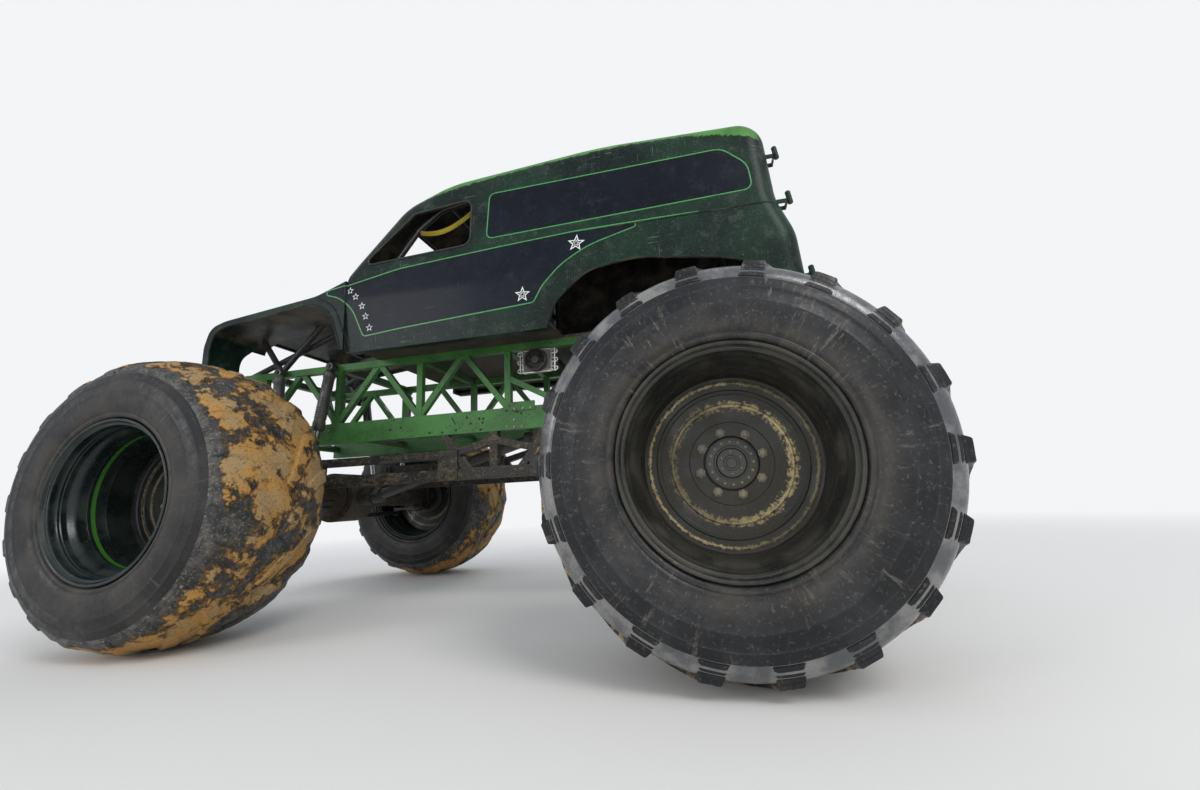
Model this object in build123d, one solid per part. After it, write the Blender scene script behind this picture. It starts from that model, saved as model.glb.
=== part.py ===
from build123d import *
from math import atan2, cos, pi, sin
import os

os.makedirs("parts", exist_ok=True)

# A monster truck: a panel van shell on a lattice chassis with four 66 inch tyres.
# Millimetres. +X is forward, +Y is left, +Z is up, and the origin is on the floor
# under the middle of the wheelbase.

# Stance
wheelbase = 3280.0
tyre_radius = 838.0
front_rim_plane = 1815.0
rear_rim_plane = 1990.0

# Tyre, from its centre plane outwards
rim_width = 760.0
tyre_facets = 18
groove_half = 150.0
groove_radius = 775.0
shoulder_half = 385.0
shoulder_radius = 700.0
bulge_half = 411.0
bulge_radius = 567.0
bead_gap = 0.3
lug_count = 18
lug_turn = -4.0
lug_middle = 175.0
lug_reach = 180.0
lug_tip_y = 355.0
lug_tip_drop = 51.0
lug_crown_drop = 8.81
lug_depth = 120.0
lug_flare = 12.0

# Rim and hub
rim_radius = 443.0
flange_thickness = 16.0
bead_seat_radius = 416.0
bead_seat_length = 110.0
drop_slope = 20.0
drop_radius = 392.0
barrel_wall = 14.0
front_disc_depth = 420.0
rear_disc_depth = 350.0
disc_thickness = 20.0
cap_radius = 112.0
cap_gap = 4.0
cap_proud = 14.0
boss_radius = 62.0
boss_proud = 22.0
stud_circle = 275.0
stud_count = 8
stud_turn = 15.0
stud_radius = 11.0
stud_hole_gap = 0.5
nut_radius = 21.0
nut_height = 24.0
hub_radius = 172.0
hub_flange = 28.0
hub_length = 110.0
spindle_radius = 60.0
spindle_gap = 0.5
spindle_depth = 90.0

# Axle, knuckle and steering
knuckle_wall = 34.0
knuckle_half_width = 95.0
knuckle_gap = 6.0
kingpin_radius = 24.0
kingpin_gap = 0.5
kingpin_depth = 40.0
kingpin_end_gap = 2.0
yoke_radius = 66.0
yoke_half_height = 105.0
plate_thickness = 30.0
plate_gap = 0.3
axle_tube_radius = 84.0
diff_radius = 205.0
diff_half_width = 150.0
steer_arm_reach = 250.0
steer_arm_thickness = 26.0
steer_arm_width = 60.0
ball_radius = 24.0
ball_gap = 0.5
tie_rod_radius = 22.0
tie_rod_gap = 0.5
ball_half_height = 27.0

# Chassis lattice
frame_half_width = 480.0
rail_bottom = 1245.0
rail_height = 165.0
rail_width = 60.0
rail_end = 2140.0
chord_top = 1900.0
chord_size = 55.0
chord_front = 2330.0
chord_rear = -2130.0
bay_length = 737.0
first_post = -112.0
post_size = 48.0
web_size = 42.0
cross_radius = 32.0
tow_ear_length = 90.0
tow_ear_width = 90.0
tow_ear_thickness = 25.0
tow_bore_radius = 16.0

# Link bars and the belly frames that they pin to
link_size = 62.0
lower_link_depth = 84.0
lower_link_z = 945.0
upper_link_z = 1095.0
link_eye_radius = 36.0
link_pin_radius = 16.0
link_pin_gap = 0.5
link_side_gap = 0.5
belly_half_length = 345.0
belly_web = 50.0
belly_gap = 0.3
belly_pin_x = 400.0
hanger_foot_x = 190.0
hanger_knee_x = 310.0
hanger_head_x = 400.0
cheek_thickness = 16.0
cheek_round = 40.0
axle_bracket_half = 48.0
axle_pin_x = 110.0
brace_top_z = 1640.0
brace_foot = 300.0
web_bite = 5.0
bracket_corner = 20.0

# Shocks, drive line and engine
shock_body_radius = 46.0
shock_rod_radius = 22.0
shock_rod_share = 0.45
shock_foot_x = 150.0
shock_foot_y = 600.0
shock_foot_z = 960.0
shock_head_x = 250.0
shock_head_y = 530.0
shock_eye_radius = 34.0
shock_eye_width = 56.0
shock_pin_radius = 16.0
shock_side_gap = 0.5
shock_eye_margin = 9.0
shock_pin_bite = 10.0
shaft_radius = 42.0
joint_radius = 62.0
joint_length = 80.0
nose_length = 90.0
rest_gap = 0.3
joint_clearance = 8.0
case_length = 240.0
case_half_width = 150.0
case_height = 330.0
case_drop = 90.0
engine_length = 720.0
engine_half_width = 300.0
engine_height = 500.0

# Body shell
wall = 24.0
body_half_width = 892.0
cowl_x = 985.0
sill_z = 1850.0
gutter_z = 3010.0
roof_edge_radius = 120.0
door_half_width = 690.0
door_gap = 6.0
door_bottom = 1905.0
door_top = 2930.0
floor_thickness = 20.0
floor_step_x = -560.0
rear_floor_half_width = 480.0
sill_lip = 96.0
arch_depth = 480.0
pillar_half_width = 640.0

# Rear door hinges: the pins lie on one line that leans with the rear of the body
hinge_low_z = 2016.0
hinge_high_z = 2873.0
hinge_low_x = -2262.0
hinge_high_x = -2140.0
hinge_y = 800.0
hinge_radius = 17.0
hinge_barrel = 36.0
hinge_gap = 0.4
pin_radius = 8.0
pin_gap = 0.3
leaf_thickness = 10.0
strap_margin = 5.0
strap_inset = 40.0
corner_depth = 34.0

# Front clip
fender_sheet = 20.0
fender_lip = 55.0
fender_half_width = 900.0
hood_half_width = 400.0
hood_front_z = 2262.0
hood_rear_z = 2530.0
nose_x = 2250.0
clip_gap = 0.3
clip_lift = 15.0
clip_low_z = 1600.0
clip_rear_z = 2360.0
hood_lip = 36.0

# Cage, braces, seats and controls
cage_radius = 24.0
cage_cross_radius = 21.0
cage_bend = 120.0
cage_joint_depth = 8.0
brace_radius = 24.0
brace_foot_x = 1950.0
brace_front_x = 2190.0
brace_rear_x = 1545.0
brace_spread = 20.0
brace_taper = 160.0
brace_top = 2460.0
seat_width = 460.0
seat_y = 380.0
seat_base_front = 440.0
seat_base_rear = 120.0
seat_base_half_width = 150.0
seat_base_top = 1980.0
bolster_width = 50.0
dash_x = 850.0
dash_half_width = 600.0
dash_bottom = 2290.0
dash_top = 2410.0
steering_wheel_radius = 180.0
steering_rim_radius = 15.0
steering_hub_radius = 32.0
steering_lean = 62.0
spoke_width = 26.0
spoke_thickness = 8.0
column_length = 250.0
column_radius = 20.0
cooler_half_length = 110.0
cooler_height = 178.0
cooler_thickness = 30.0
cooler_x = -346.0
cooler_z = 1750.0
cooler_rod_radius = 8.0
cooler_rod_gap = 25.0
cooler_loop_pitch = 66.0
cooler_loop_overhang = 30.0
cooler_loop_height = 14.0
cooler_loop_width = 40.0
fan_radius = 88.0
fan_depth = 50.0

# Derived places; a fused bar reaches one bite into its neighbour
far = 3000.0
bite = 1.0
axle_height = tyre_radius
front_axle_x = wheelbase / 2
rear_axle_x = -wheelbase / 2
rail_top = rail_bottom + rail_height
chord_bottom = chord_top - chord_size
side_centre = frame_half_width - rail_width / 2
front_disc_y = front_rim_plane - front_disc_depth
rear_disc_y = rear_rim_plane - rear_disc_depth


def save(name, *solids):
    """Writes one node from one or more solids."""
    shape = solids[0] if len(solids) == 1 else Compound(children=list(solids))
    export_step(shape, f"parts/{name}.step")


def rod(start, end, radius):
    """A round bar between two points."""
    start, end = Vector(*start), Vector(*end)
    return Solid.make_cylinder(radius, (end - start).length, Plane(start, z_dir=end - start))


def bar(start, end, width, depth, across=(0, 1, 0)):
    """A square-edged bar between two points; its width lies along the across direction."""
    start, end = Vector(*start), Vector(*end)
    plane = Plane(start, x_dir=across, z_dir=end - start)
    return extrude(plane * Rectangle(width, depth), amount=(end - start).length)


def block(x0, x1, y0, y1, z0, z1):
    """A box given by its six faces."""
    size = (x1 - x0, y1 - y0, z1 - z0)
    return Pos((x0 + x1) / 2, (y0 + y1) / 2, (z0 + z1) / 2) * Box(*size)


def outline(rows):
    """A closed face from rows of (first, second, corner radius)."""
    points = [(row[0], row[1]) for row in rows]
    return make_face(FilletPolyline(*points, radius=[row[2] for row in rows], close=True))


def side_slab(face, y0, y1):
    """A side-view face (x, z) made solid from y0 to y1."""
    return extrude(Plane.XZ.offset(-y1) * face, amount=y1 - y0)


def front_slab(face, x0, x1):
    """A front-view face (y, z) made solid from x0 to x1."""
    return extrude(Plane.YZ.offset(x0) * face, amount=x1 - x0)


def spun(rows):
    """A ring about the Y axis from rows of (y, radius)."""
    face = make_face(Polyline(*[(radius, y) for y, radius in rows], close=True))
    return revolve(Plane.XY * face, Axis.Y)


def mirrored(shape):
    return mirror(shape, about=Plane.XZ)


def only(shape):
    """The main solid of a result."""
    return shape.solids().sort_by(SortBy.VOLUME)[-1]


# Wheels, drawn with the axis on Y and the outer side towards +Y
def facet_ring(rows, facets):
    """A closed ring of flat faces about the Y axis from rows of (y, radius across the flats)."""
    corner = 1 / cos(pi / facets)
    angles = [2 * pi * turn / facets for turn in range(facets + 1)]
    faces = []
    for start, end in zip(angles[:-1], angles[1:]):
        for (y0, radius0), (y1, radius1) in zip(rows, rows[1:] + rows[:1]):
            places = [(y0, radius0, start), (y0, radius0, end), (y1, radius1, end), (y1, radius1, start)]
            points = [Vector(radius * corner * cos(angle), y, radius * corner * sin(angle))
                      for y, radius, angle in places]
            faces.append(Face(Wire.make_polygon(points, close=True)))
    return Solid(Shell(faces))


lug_top = [
    # along the tread (rearwards), across it (outwards)
    (-184, lug_reach), (-116, lug_reach), (160, 30 - lug_reach), (90, 30 - lug_reach), (-124, 20),
]


def lug():
    """One slanted bar that widens to its root; it falls from the crown to the shoulder."""
    slope = atan2(lug_tip_drop - lug_crown_drop, lug_tip_y)
    drop = (lug_tip_drop + lug_crown_drop) / 2
    plane = Plane((0, lug_middle, tyre_radius - drop), x_dir=(-1, 0, 0), z_dir=(0, sin(slope), cos(slope)))
    face = make_face(Polyline(*[(along, -across) for along, across in lug_top], close=True))
    return extrude(plane * face, amount=-lug_depth, taper=-lug_flare)


def tyre():
    half = rim_width / 2
    seat = bead_seat_radius + bead_gap
    rows = [
        (-half, seat), (half, seat), (half, rim_radius), (bulge_half, bulge_radius),
        (shoulder_half, shoulder_radius), (groove_half, groove_radius), (-groove_half, groove_radius),
        (-shoulder_half, shoulder_radius), (-bulge_half, bulge_radius), (-half, rim_radius),
    ]
    outer = lug()
    pitch = 360 / lug_count
    lugs = [Rot(0, lug_turn + pitch * turn, 0) * outer for turn in range(lug_count)]
    lugs += [Rot(0, lug_turn + pitch * (turn + 0.5), 0) * mirrored(outer) for turn in range(lug_count)]
    return only(facet_ring(rows, tyre_facets).fuse(*lugs))


def rim(disc_depth):
    half = rim_width / 2
    seat = half - bead_seat_length
    outside = [
        (-half - flange_thickness, rim_radius), (-half, rim_radius),
        (-half, bead_seat_radius), (-seat, bead_seat_radius), (-seat + drop_slope, drop_radius),
        (seat - drop_slope, drop_radius), (seat, bead_seat_radius), (half, bead_seat_radius),
        (half, rim_radius), (half + flange_thickness, rim_radius),
    ]
    inside = [
        (half + flange_thickness, bead_seat_radius - barrel_wall),
        (seat, bead_seat_radius - barrel_wall), (seat - drop_slope, drop_radius - barrel_wall),
        (-seat + drop_slope, drop_radius - barrel_wall), (-seat, bead_seat_radius - barrel_wall),
        (-half - flange_thickness, bead_seat_radius - barrel_wall),
    ]
    disc_y = half - disc_depth
    disc = spun([
        (disc_y - disc_thickness, cap_radius + cap_gap), (disc_y, cap_radius + cap_gap),
        (disc_y, drop_radius - barrel_wall / 2), (disc_y - disc_thickness, drop_radius - barrel_wall / 2),
    ])
    for turn in range(stud_count):
        hole = rod((stud_circle / 2, disc_y - 2 * disc_thickness, 0), (stud_circle / 2, disc_y + bite, 0),
                   stud_radius + stud_hole_gap)
        disc -= Rot(0, stud_turn + 360 / stud_count * turn, 0) * hole
    return only(spun(outside + inside) + disc)


def hub(disc_depth):
    disc_y = rim_width / 2 - disc_depth
    back = disc_y - disc_thickness
    body = spun([
        (back - hub_flange - hub_length, spindle_radius + spindle_gap),
        (back - hub_flange - hub_length, cap_radius), (back - hub_flange, cap_radius),
        (back - hub_flange, hub_radius), (back, hub_radius), (back, cap_radius),
        (disc_y + cap_proud, cap_radius), (disc_y + cap_proud, boss_radius),
        (disc_y + boss_proud, boss_radius), (disc_y + boss_proud, 0),
        (back - hub_flange - hub_length + spindle_depth, 0),
        (back - hub_flange - hub_length + spindle_depth, spindle_radius + spindle_gap),
    ])
    for turn in range(stud_count):
        stud = rod((stud_circle / 2, back - bite, 0), (stud_circle / 2, disc_y + nut_height, 0), stud_radius)
        nut = rod((stud_circle / 2, disc_y, 0), (stud_circle / 2, disc_y + nut_height, 0), nut_radius)
        body += Rot(0, stud_turn + 360 / stud_count * turn, 0) * (stud + nut)
    return only(body)


wheels = [
    # end, axle x, outer rim plane, disc depth
    ("front", front_axle_x, front_rim_plane, front_disc_depth),
    ("rear", rear_axle_x, rear_rim_plane, rear_disc_depth),
]
lugged_tyre = tyre()
for end, axle_x, rim_plane, disc_depth in wheels:
    place = Pos(axle_x, rim_plane - rim_width / 2, axle_height)
    for piece, shape in (("tyre", lugged_tyre), ("rim", rim(disc_depth)), ("hub", hub(disc_depth))):
        left = place * shape
        save(f"{end}_left_{piece}", left)
        save(f"{end}_right_{piece}", mirrored(left))


# Knuckles: a yoke round the axle end, a spindle into the hub and an arm for the tie rod
def hub_back(disc_y):
    return disc_y - disc_thickness - hub_flange - hub_length


def pin_place(disc_y):
    return hub_back(disc_y) - knuckle_gap - knuckle_wall - yoke_radius - knuckle_gap


def knuckle(axle_x, disc_y, arm_side):
    spindle_root = hub_back(disc_y) - knuckle_gap
    pin_y = pin_place(disc_y)
    plate_z = yoke_half_height + plate_gap
    wall_top = plate_z + plate_thickness
    body = block(-knuckle_half_width, knuckle_half_width, spindle_root - knuckle_wall, spindle_root,
                 -wall_top, wall_top)
    body += rod((0, spindle_root - bite, 0), (0, spindle_root + spindle_depth, 0), spindle_radius)
    for side in (-1, 1):
        low, high = sorted((side * plate_z, side * wall_top))
        body += block(-knuckle_half_width, knuckle_half_width, pin_y, spindle_root, low, high)
        body += Pos(0, pin_y, (low + high) / 2) * Cylinder(knuckle_half_width, plate_thickness)
        body += rod((0, pin_y, side * wall_top), (0, pin_y, side * (yoke_half_height - kingpin_depth)),
                    kingpin_radius)
    arm_z = -wall_top + steer_arm_thickness / 2
    eye = Pos(arm_side * steer_arm_reach, pin_y, arm_z)
    body += bar((arm_side * knuckle_half_width / 2, pin_y, arm_z), tuple(eye.position),
                steer_arm_width, steer_arm_thickness)
    body += eye * Cylinder(steer_arm_width / 2, steer_arm_thickness)
    body -= eye * Cylinder(ball_radius / 2 + ball_gap, 2 * steer_arm_thickness)
    return Pos(axle_x, 0, axle_height) * only(body)


def tie_rod(axle_x, disc_y, arm_side):
    """The rod hangs under both arms on two short pins."""
    eye_y = pin_place(disc_y)
    arm_low = axle_height - yoke_half_height - plate_gap - plate_thickness
    rod_z = arm_low - tie_rod_gap - ball_half_height
    eye_x = axle_x + arm_side * steer_arm_reach
    body = rod((eye_x, -eye_y, rod_z), (eye_x, eye_y, rod_z), tie_rod_radius)
    for side in (-1, 1):
        body += Pos(eye_x, side * eye_y, rod_z) * Cylinder(ball_radius, 2 * ball_half_height)
        body += rod((eye_x, side * eye_y, rod_z), (eye_x, side * eye_y, arm_low + steer_arm_thickness),
                    ball_radius / 2)
    return only(body)


def axle_housing(axle_x, disc_y, inward):
    """Tube, round differential case and the upright end bosses that carry the kingpins."""
    pin_y = pin_place(disc_y)
    body = rod((0, -pin_y, 0), (0, pin_y, 0), axle_tube_radius)
    body += rod((0, -diff_half_width, 0), (0, diff_half_width, 0), diff_radius)
    body += rod((0, 0, 0), (inward * (diff_radius + nose_length), 0, 0), diff_half_width / 2)
    for side in (-1, 1):
        body += Pos(0, side * pin_y, 0) * Cylinder(yoke_radius, 2 * yoke_half_height)
        body -= Pos(0, side * (pin_y + yoke_radius + axle_tube_radius), 0) * Box(
            2 * axle_tube_radius, 2 * axle_tube_radius, 2 * axle_tube_radius)
        for end in (-1, 1):
            body -= rod((0, side * pin_y, end * (yoke_half_height + bite)),
                        (0, side * pin_y, end * (yoke_half_height - kingpin_depth - kingpin_end_gap)),
                        kingpin_radius + kingpin_gap)
    return Pos(axle_x, 0, axle_height) * only(body)


axles = [
    # end, axle x, wheel disc y, the way towards the middle
    ("front", front_axle_x, front_disc_y, -1),
    ("rear", rear_axle_x, rear_disc_y, 1),
]

# Chassis lattice: top chord, bottom rail, posts and pairs of diagonals
posts = [first_post + bay_length * bay for bay in range(-2, 4)]
rear_post = post_size / 2 - rail_end
open_bay = -1
rail_z = rail_bottom + rail_height / 2
chord_z = chord_top - chord_size / 2


def lattice_side():
    web_foot_z = rail_top - web_bite
    body = block(-rail_end, rail_end, side_centre - rail_width / 2, side_centre + rail_width / 2,
                 rail_bottom, rail_top)
    body += block(chord_rear, chord_front, side_centre - chord_size / 2, side_centre + chord_size / 2,
                  chord_bottom, chord_top)
    for post_x in [rear_post] + posts:
        body += bar((post_x, side_centre, rail_z), (post_x, side_centre, chord_z), post_size, post_size)
    feet = [rear_post] + posts
    for foot_x, next_x in zip(feet[:-1], feet[1:]):
        if foot_x == first_post + open_bay * bay_length:
            body += bar((next_x, side_centre, brace_top_z), (foot_x + brace_foot, side_centre, web_foot_z),
                        web_size, web_size)
            continue
        top_x = (foot_x + next_x) / 2
        for end_x in (foot_x, next_x):
            body += bar((end_x, side_centre, web_foot_z), (top_x, side_centre, chord_z), web_size, web_size)
    body += bar((posts[-1], side_centre, web_foot_z), (chord_front - chord_size, side_centre, chord_z),
                web_size, web_size)
    for _, end_x, _, _ in axles:
        for lean in (-1, 1):
            body += rod((end_x + lean * shock_head_x, frame_half_width - shock_pin_bite, chord_z),
                        (end_x + lean * shock_head_x, shock_head_y + shock_eye_width / 2, chord_z),
                        shock_pin_radius)
    return only(body)


def belly_frame():
    """The black truss under each rail, with cheeks for the link pins at both ends."""
    low, high, apex = lower_link_z, upper_link_z, rail_bottom
    y = side_centre
    body = bar((-belly_half_length, y, low), (belly_half_length, y, low), link_size, lower_link_depth)
    body += bar((0, y, low), (0, y, apex - belly_gap), link_size, link_size)
    for end in (-1, 1):
        body += bar((end * belly_half_length, y, high), (0, y, apex - link_size), link_size, belly_web)
        body += bar((end * (belly_half_length - link_size / 2), y, low),
                    (end * (belly_half_length - link_size / 2), y, high), link_size, link_size)
        body += bar((end * hanger_foot_x, y, low), (end * hanger_knee_x, y, high), link_size, belly_web)
        body += bar((end * hanger_knee_x, y, high), (end * hanger_head_x, y, apex), link_size, belly_web)
        body += block(*sorted((end * (belly_half_length - link_size), end * (belly_pin_x + cheek_round))),
                      y + link_size / 2, y + link_size / 2 + cheek_thickness,
                      low - lower_link_depth / 2, high + link_size / 2)
        body += block(*sorted((end * (belly_half_length - link_size), end * (belly_pin_x + cheek_round))),
                      y - link_size / 2 - cheek_thickness, y - link_size / 2,
                      low - lower_link_depth / 2, high + link_size / 2)
        for z in (low, high):
            body += rod((end * belly_pin_x, y - link_size / 2 - cheek_thickness, z),
                        (end * belly_pin_x, y + link_size / 2 + cheek_thickness, z), link_pin_radius)
    body -= block(-far, far, 0, far, apex - belly_gap, far)
    return only(body)


def link(start_x, end_x, start_z, end_z, depth):
    """One link bar with an eye at each end."""
    y = side_centre
    width = link_size - 2 * link_side_gap
    body = bar((start_x, y, start_z), (end_x, y, end_z), width, depth)
    for x, z in ((start_x, start_z), (end_x, end_z)):
        body += rod((x, y - width / 2, z), (x, y + width / 2, z), link_eye_radius)
    for x, z in ((start_x, start_z), (end_x, end_z)):
        body -= rod((x, y - link_size, z), (x, y + link_size, z), link_pin_radius + link_pin_gap)
    return only(body)


def shock(axle_x, lean):
    """A damper from a pin on the axle to a pin on the chord."""
    foot = (axle_x + lean * shock_foot_x, shock_foot_y, shock_foot_z)
    head = (axle_x + lean * shock_head_x, shock_head_y, chord_z)
    middle = tuple(low + (high - low) * shock_rod_share for low, high in zip(foot, head))
    body = rod(foot, middle, shock_rod_radius) + rod(middle, head, shock_body_radius)
    half = shock_eye_width / 2
    face = shock_eye_radius + shock_eye_margin
    for x, y, z in (foot, head):
        body += rod((x, y - half, z), (x, y + half, z), shock_eye_radius)
    for x, y, z in (foot, head):
        body -= rod((x, 0, z), (x, y + half + bite, z), shock_pin_radius + link_pin_gap)
        body -= rod((x, 0, z), (x, y - half, z), face)
        body -= rod((x, y + half, z), (x, far, z), face)
    return only(body)


def axle_brackets(inward):
    """Cheeks with link pins, and tabs with shock pins, on the left of an axle."""
    y = side_centre
    low, high = lower_link_z - axle_height, upper_link_z - axle_height
    face = outline([(-axle_bracket_half, 0, 0), (-axle_bracket_half, high + cheek_round, bracket_corner),
                    (axle_bracket_half, high + cheek_round, bracket_corner), (axle_bracket_half, 0, 0)])
    pieces = []
    for near in (y + link_size / 2, y - link_size / 2 - cheek_thickness):
        pieces.append(Pos(inward * axle_pin_x, 0, 0) * side_slab(face, near, near + cheek_thickness))
    for z in (low, high):
        pieces.append(rod((inward * axle_pin_x, y - link_size / 2 - cheek_thickness, z),
                          (inward * axle_pin_x, y + link_size / 2 + cheek_thickness, z), link_pin_radius))
    tab_y = shock_foot_y - shock_eye_width / 2 - shock_side_gap - cheek_thickness
    tab_half = shock_foot_x + cheek_round
    foot_z = shock_foot_z - axle_height
    pieces.append(block(-tab_half, tab_half, tab_y, tab_y + cheek_thickness, 0, foot_z + cheek_round))
    for lean in (-1, 1):
        pieces.append(rod((lean * shock_foot_x, tab_y, foot_z),
                          (lean * shock_foot_x, shock_foot_y + shock_eye_width / 2, foot_z), shock_pin_radius))
    return pieces


for end, axle_x, disc_y, inward in axles:
    housing = axle_housing(axle_x, disc_y, inward)
    for piece in axle_brackets(inward):
        piece = Pos(axle_x, 0, axle_height) * piece
        housing += piece
        housing += mirrored(piece)
    save(f"{end}_axle_housing", only(housing))
    left = knuckle(axle_x, disc_y, -inward)
    save(f"{end}_left_knuckle", left)
    save(f"{end}_right_knuckle", mirrored(left))
    save(f"{end}_tie_rod", tie_rod(axle_x, disc_y, -inward))
    pin_x = axle_x + inward * axle_pin_x
    bars = [link(-inward * belly_pin_x, pin_x, lower_link_z, lower_link_z, lower_link_depth),
            link(-inward * belly_pin_x, pin_x, upper_link_z, upper_link_z, link_size)]
    save(f"{end}_links", *bars, *[mirrored(piece) for piece in bars])
    shocks = [shock(axle_x, lean) for lean in (-1, 1)]
    save(f"{end}_shocks", *shocks, *[mirrored(piece) for piece in shocks])

left = lattice_side()
save("lattice_left", left)
save("lattice_right", mirrored(left))
left = belly_frame()
save("belly_frames", left, mirrored(left))


def tow_ear(cross_x, way):
    reach = cross_x + way * tow_ear_length
    low, high = rail_z - tow_ear_thickness / 2, rail_z + tow_ear_thickness / 2
    ear = block(*sorted((cross_x, reach)), -tow_ear_width / 2, tow_ear_width / 2, low, high)
    ear += rod((reach, 0, low), (reach, 0, high), tow_ear_width / 2)
    return ear - rod((reach, 0, 0), (reach, 0, far), tow_bore_radius)


def cross_members():
    inner = side_centre - rail_width / 2
    chord_inner = side_centre - chord_size / 2
    pieces = [rod((post_x, -inner, rail_z), (post_x, inner, rail_z), cross_radius) for post_x in posts[1:-1]]
    for cross_x, way in ((posts[-1], 1), (rear_post, -1)):
        cross = rod((cross_x, -inner, rail_z), (cross_x, inner, rail_z), cross_radius)
        pieces.append(only(cross + tow_ear(cross_x, way)))
    tops = [chord_rear + chord_size] + [post_x for post_x in posts if post_x > first_post - bite]
    pieces += [bar((top_x, -chord_inner, chord_z), (top_x, chord_inner, chord_z),
                   chord_size, chord_size, across=(1, 0, 0)) for top_x in tops]
    return pieces


save("cross_members", *cross_members())


# Engine, transfer case and drive shafts
def drive_shaft(case_x, nose_x):
    way = 1 if nose_x > case_x else -1
    start = (case_x + way * joint_length / 2, 0, output_z)
    end = (nose_x - way * joint_length / 2, 0, axle_height)
    body = rod(start, end, shaft_radius)
    for x, z in ((start[0], output_z), (end[0], axle_height)):
        body += rod((x - joint_length / 2, 0, z), (x + joint_length / 2, 0, z), joint_radius)
    return only(body)


output_z = rail_z - cross_radius - joint_radius - joint_clearance
case_front = first_post - cross_radius - joint_clearance
case_rear = case_front - case_length
case_bottom = output_z - case_drop
engine_front = case_rear - rest_gap
engine_bottom = rail_z + cross_radius + rest_gap
diff_nose = diff_radius + nose_length
save("transfer_case", block(case_rear, case_front, -case_half_width, case_half_width,
                            case_bottom, case_bottom + case_height))
save("engine_block", block(engine_front - engine_length, engine_front, -engine_half_width, engine_half_width,
                           engine_bottom, engine_bottom + engine_height))
save("drive_shafts",
     drive_shaft(case_front + rest_gap, front_axle_x - diff_nose - rest_gap),
     drive_shaft(case_rear - rest_gap, rear_axle_x + diff_nose + rest_gap))

# Body shell outlines, as rows of x or y, z and corner radius
cab_side = [
    (cowl_x, sill_z, 0), (cowl_x, 2520, 0), (560, 2985, 420), (190, 3128, 900),
    (-970, 3205, 3500), (-2075, 3150, 190), (-2110, 2540, 400),
    (-2200, 2300, 400), (-2226, 1990, 200), (-2208, sill_z, 0),
]
cab_front = [
    (858, sill_z, 0), (892, 2240, 700), (884, 2490, 600), (826, 3260, 0),
    (-826, 3260, 0), (-884, 2490, 600), (-892, 2240, 700), (-858, sill_z, 0),
]
rear_arch = [
    (-552, 1700, 0), (-566, 1880, 60), (-640, 2040, 200), (-860, 2210, 300), (-1200, 2250, 700),
    (-1840, 2145, 500), (-2204, 1886, 40), (-2204, 1700, 0),
]
side_window = [(870, 2505, 30), (450, 2880, 60), (-12, 2915, 60), (-12, 2540, 60)]
screen_opening = [(600, 2560, 40), (600, 2905, 40), (-600, 2905, 40), (-600, 2560, 40)]
door_window = [(620, 2600, 60), (620, 2860, 60), (100, 2860, 60), (100, 2600, 60)]


def cab_block(inset, edge_radius):
    """The cab and load space as one rounded block, set in by a wall thickness."""
    side, front = outline(cab_side), outline(cab_front)
    if inset:
        side, front = offset(side, -inset), offset(front, -inset)
    solid = only(side_slab(side, -far, far) & front_slab(front, -far, far))
    flanks = [face for face in solid.faces() if abs(face.normal_at().Y) > 0.85]
    others = [edge for face in solid.faces() if abs(face.normal_at().Y) <= 0.85 for edge in face.edges()]
    corners = [edge for face in flanks for edge in face.edges()
               if edge.center().Z > sill_z + 2 * wall and edge.center().X < cowl_x - 2 * wall
               and any(edge.is_same(other) for other in others)]
    return solid.fillet(edge_radius, corners)


inner = cab_block(wall, roof_edge_radius - wall)
skin = cab_block(0, roof_edge_radius) - inner
skin -= block(-far, cowl_x - wall, sill_lip - body_half_width, body_half_width - sill_lip,
              sill_z - bite, sill_z + 2 * wall)
arch = side_slab(outline(rear_arch), arch_depth, far)


def hinge_point(z, y=hinge_y):
    share = (z - hinge_low_z) / (hinge_high_z - hinge_low_z)
    return (hinge_low_x + share * (hinge_high_x - hinge_low_x), y, z)


hinges = [
    # height, x of the skin there
    (hinge_low_z, -2222.0), (2540.0, -2113.0), (hinge_high_z, -2091.0),
]


def barrel(z, low, high, radius):
    return rod(hinge_point(z + low), hinge_point(z + high), radius)


def strap(z, low, high, start, end):
    """A flat strap between two (x, y) points, from low to high above a hinge's height."""
    middle = z + (low + high) / 2
    return bar((*start, middle), (*end, middle), high - low, leaf_thickness, across=(0, 0, 1))


def side_panel():
    panel = skin & block(-far, far, door_half_width, far, 0, gutter_z)
    panel = panel - arch - side_slab(outline(side_window), pillar_half_width, far)
    for z, skin_x in hinges:
        pin_x = hinge_point(z - hinge_barrel / 2)[0]
        panel += barrel(z, -hinge_barrel, 0, hinge_radius) + barrel(z, -bite, hinge_barrel, pin_radius)
        panel += strap(z, strap_margin - hinge_barrel, -strap_margin, (pin_x, hinge_y),
                       (skin_x + corner_depth, hinge_y))
    return only(panel)


rear_split_x = -1950.0
panel = side_panel()
save("side_panel_left", panel)
save("side_panel_right", mirrored(panel))


def rear_door():
    door = skin & block(-far, rear_split_x, door_gap / 2, door_half_width - door_gap, door_bottom, door_top)
    door -= front_slab(outline(door_window), -far, 0)
    for z, skin_x in hinges:
        pin_x = hinge_point(z + hinge_barrel / 2)[0]
        knee = (pin_x, door_half_width - strap_inset)
        door += barrel(z, hinge_gap, hinge_barrel, hinge_radius)
        door += strap(z, strap_margin, hinge_barrel - strap_margin, (pin_x, hinge_y), knee)
        door += strap(z, strap_margin, hinge_barrel - strap_margin, (pin_x - leaf_thickness / 2, knee[1]),
                      (skin_x + wall / 2, knee[1]))
        door -= barrel(z, -bite, hinge_barrel + bite, pin_radius + pin_gap)
    return only(door)


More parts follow.
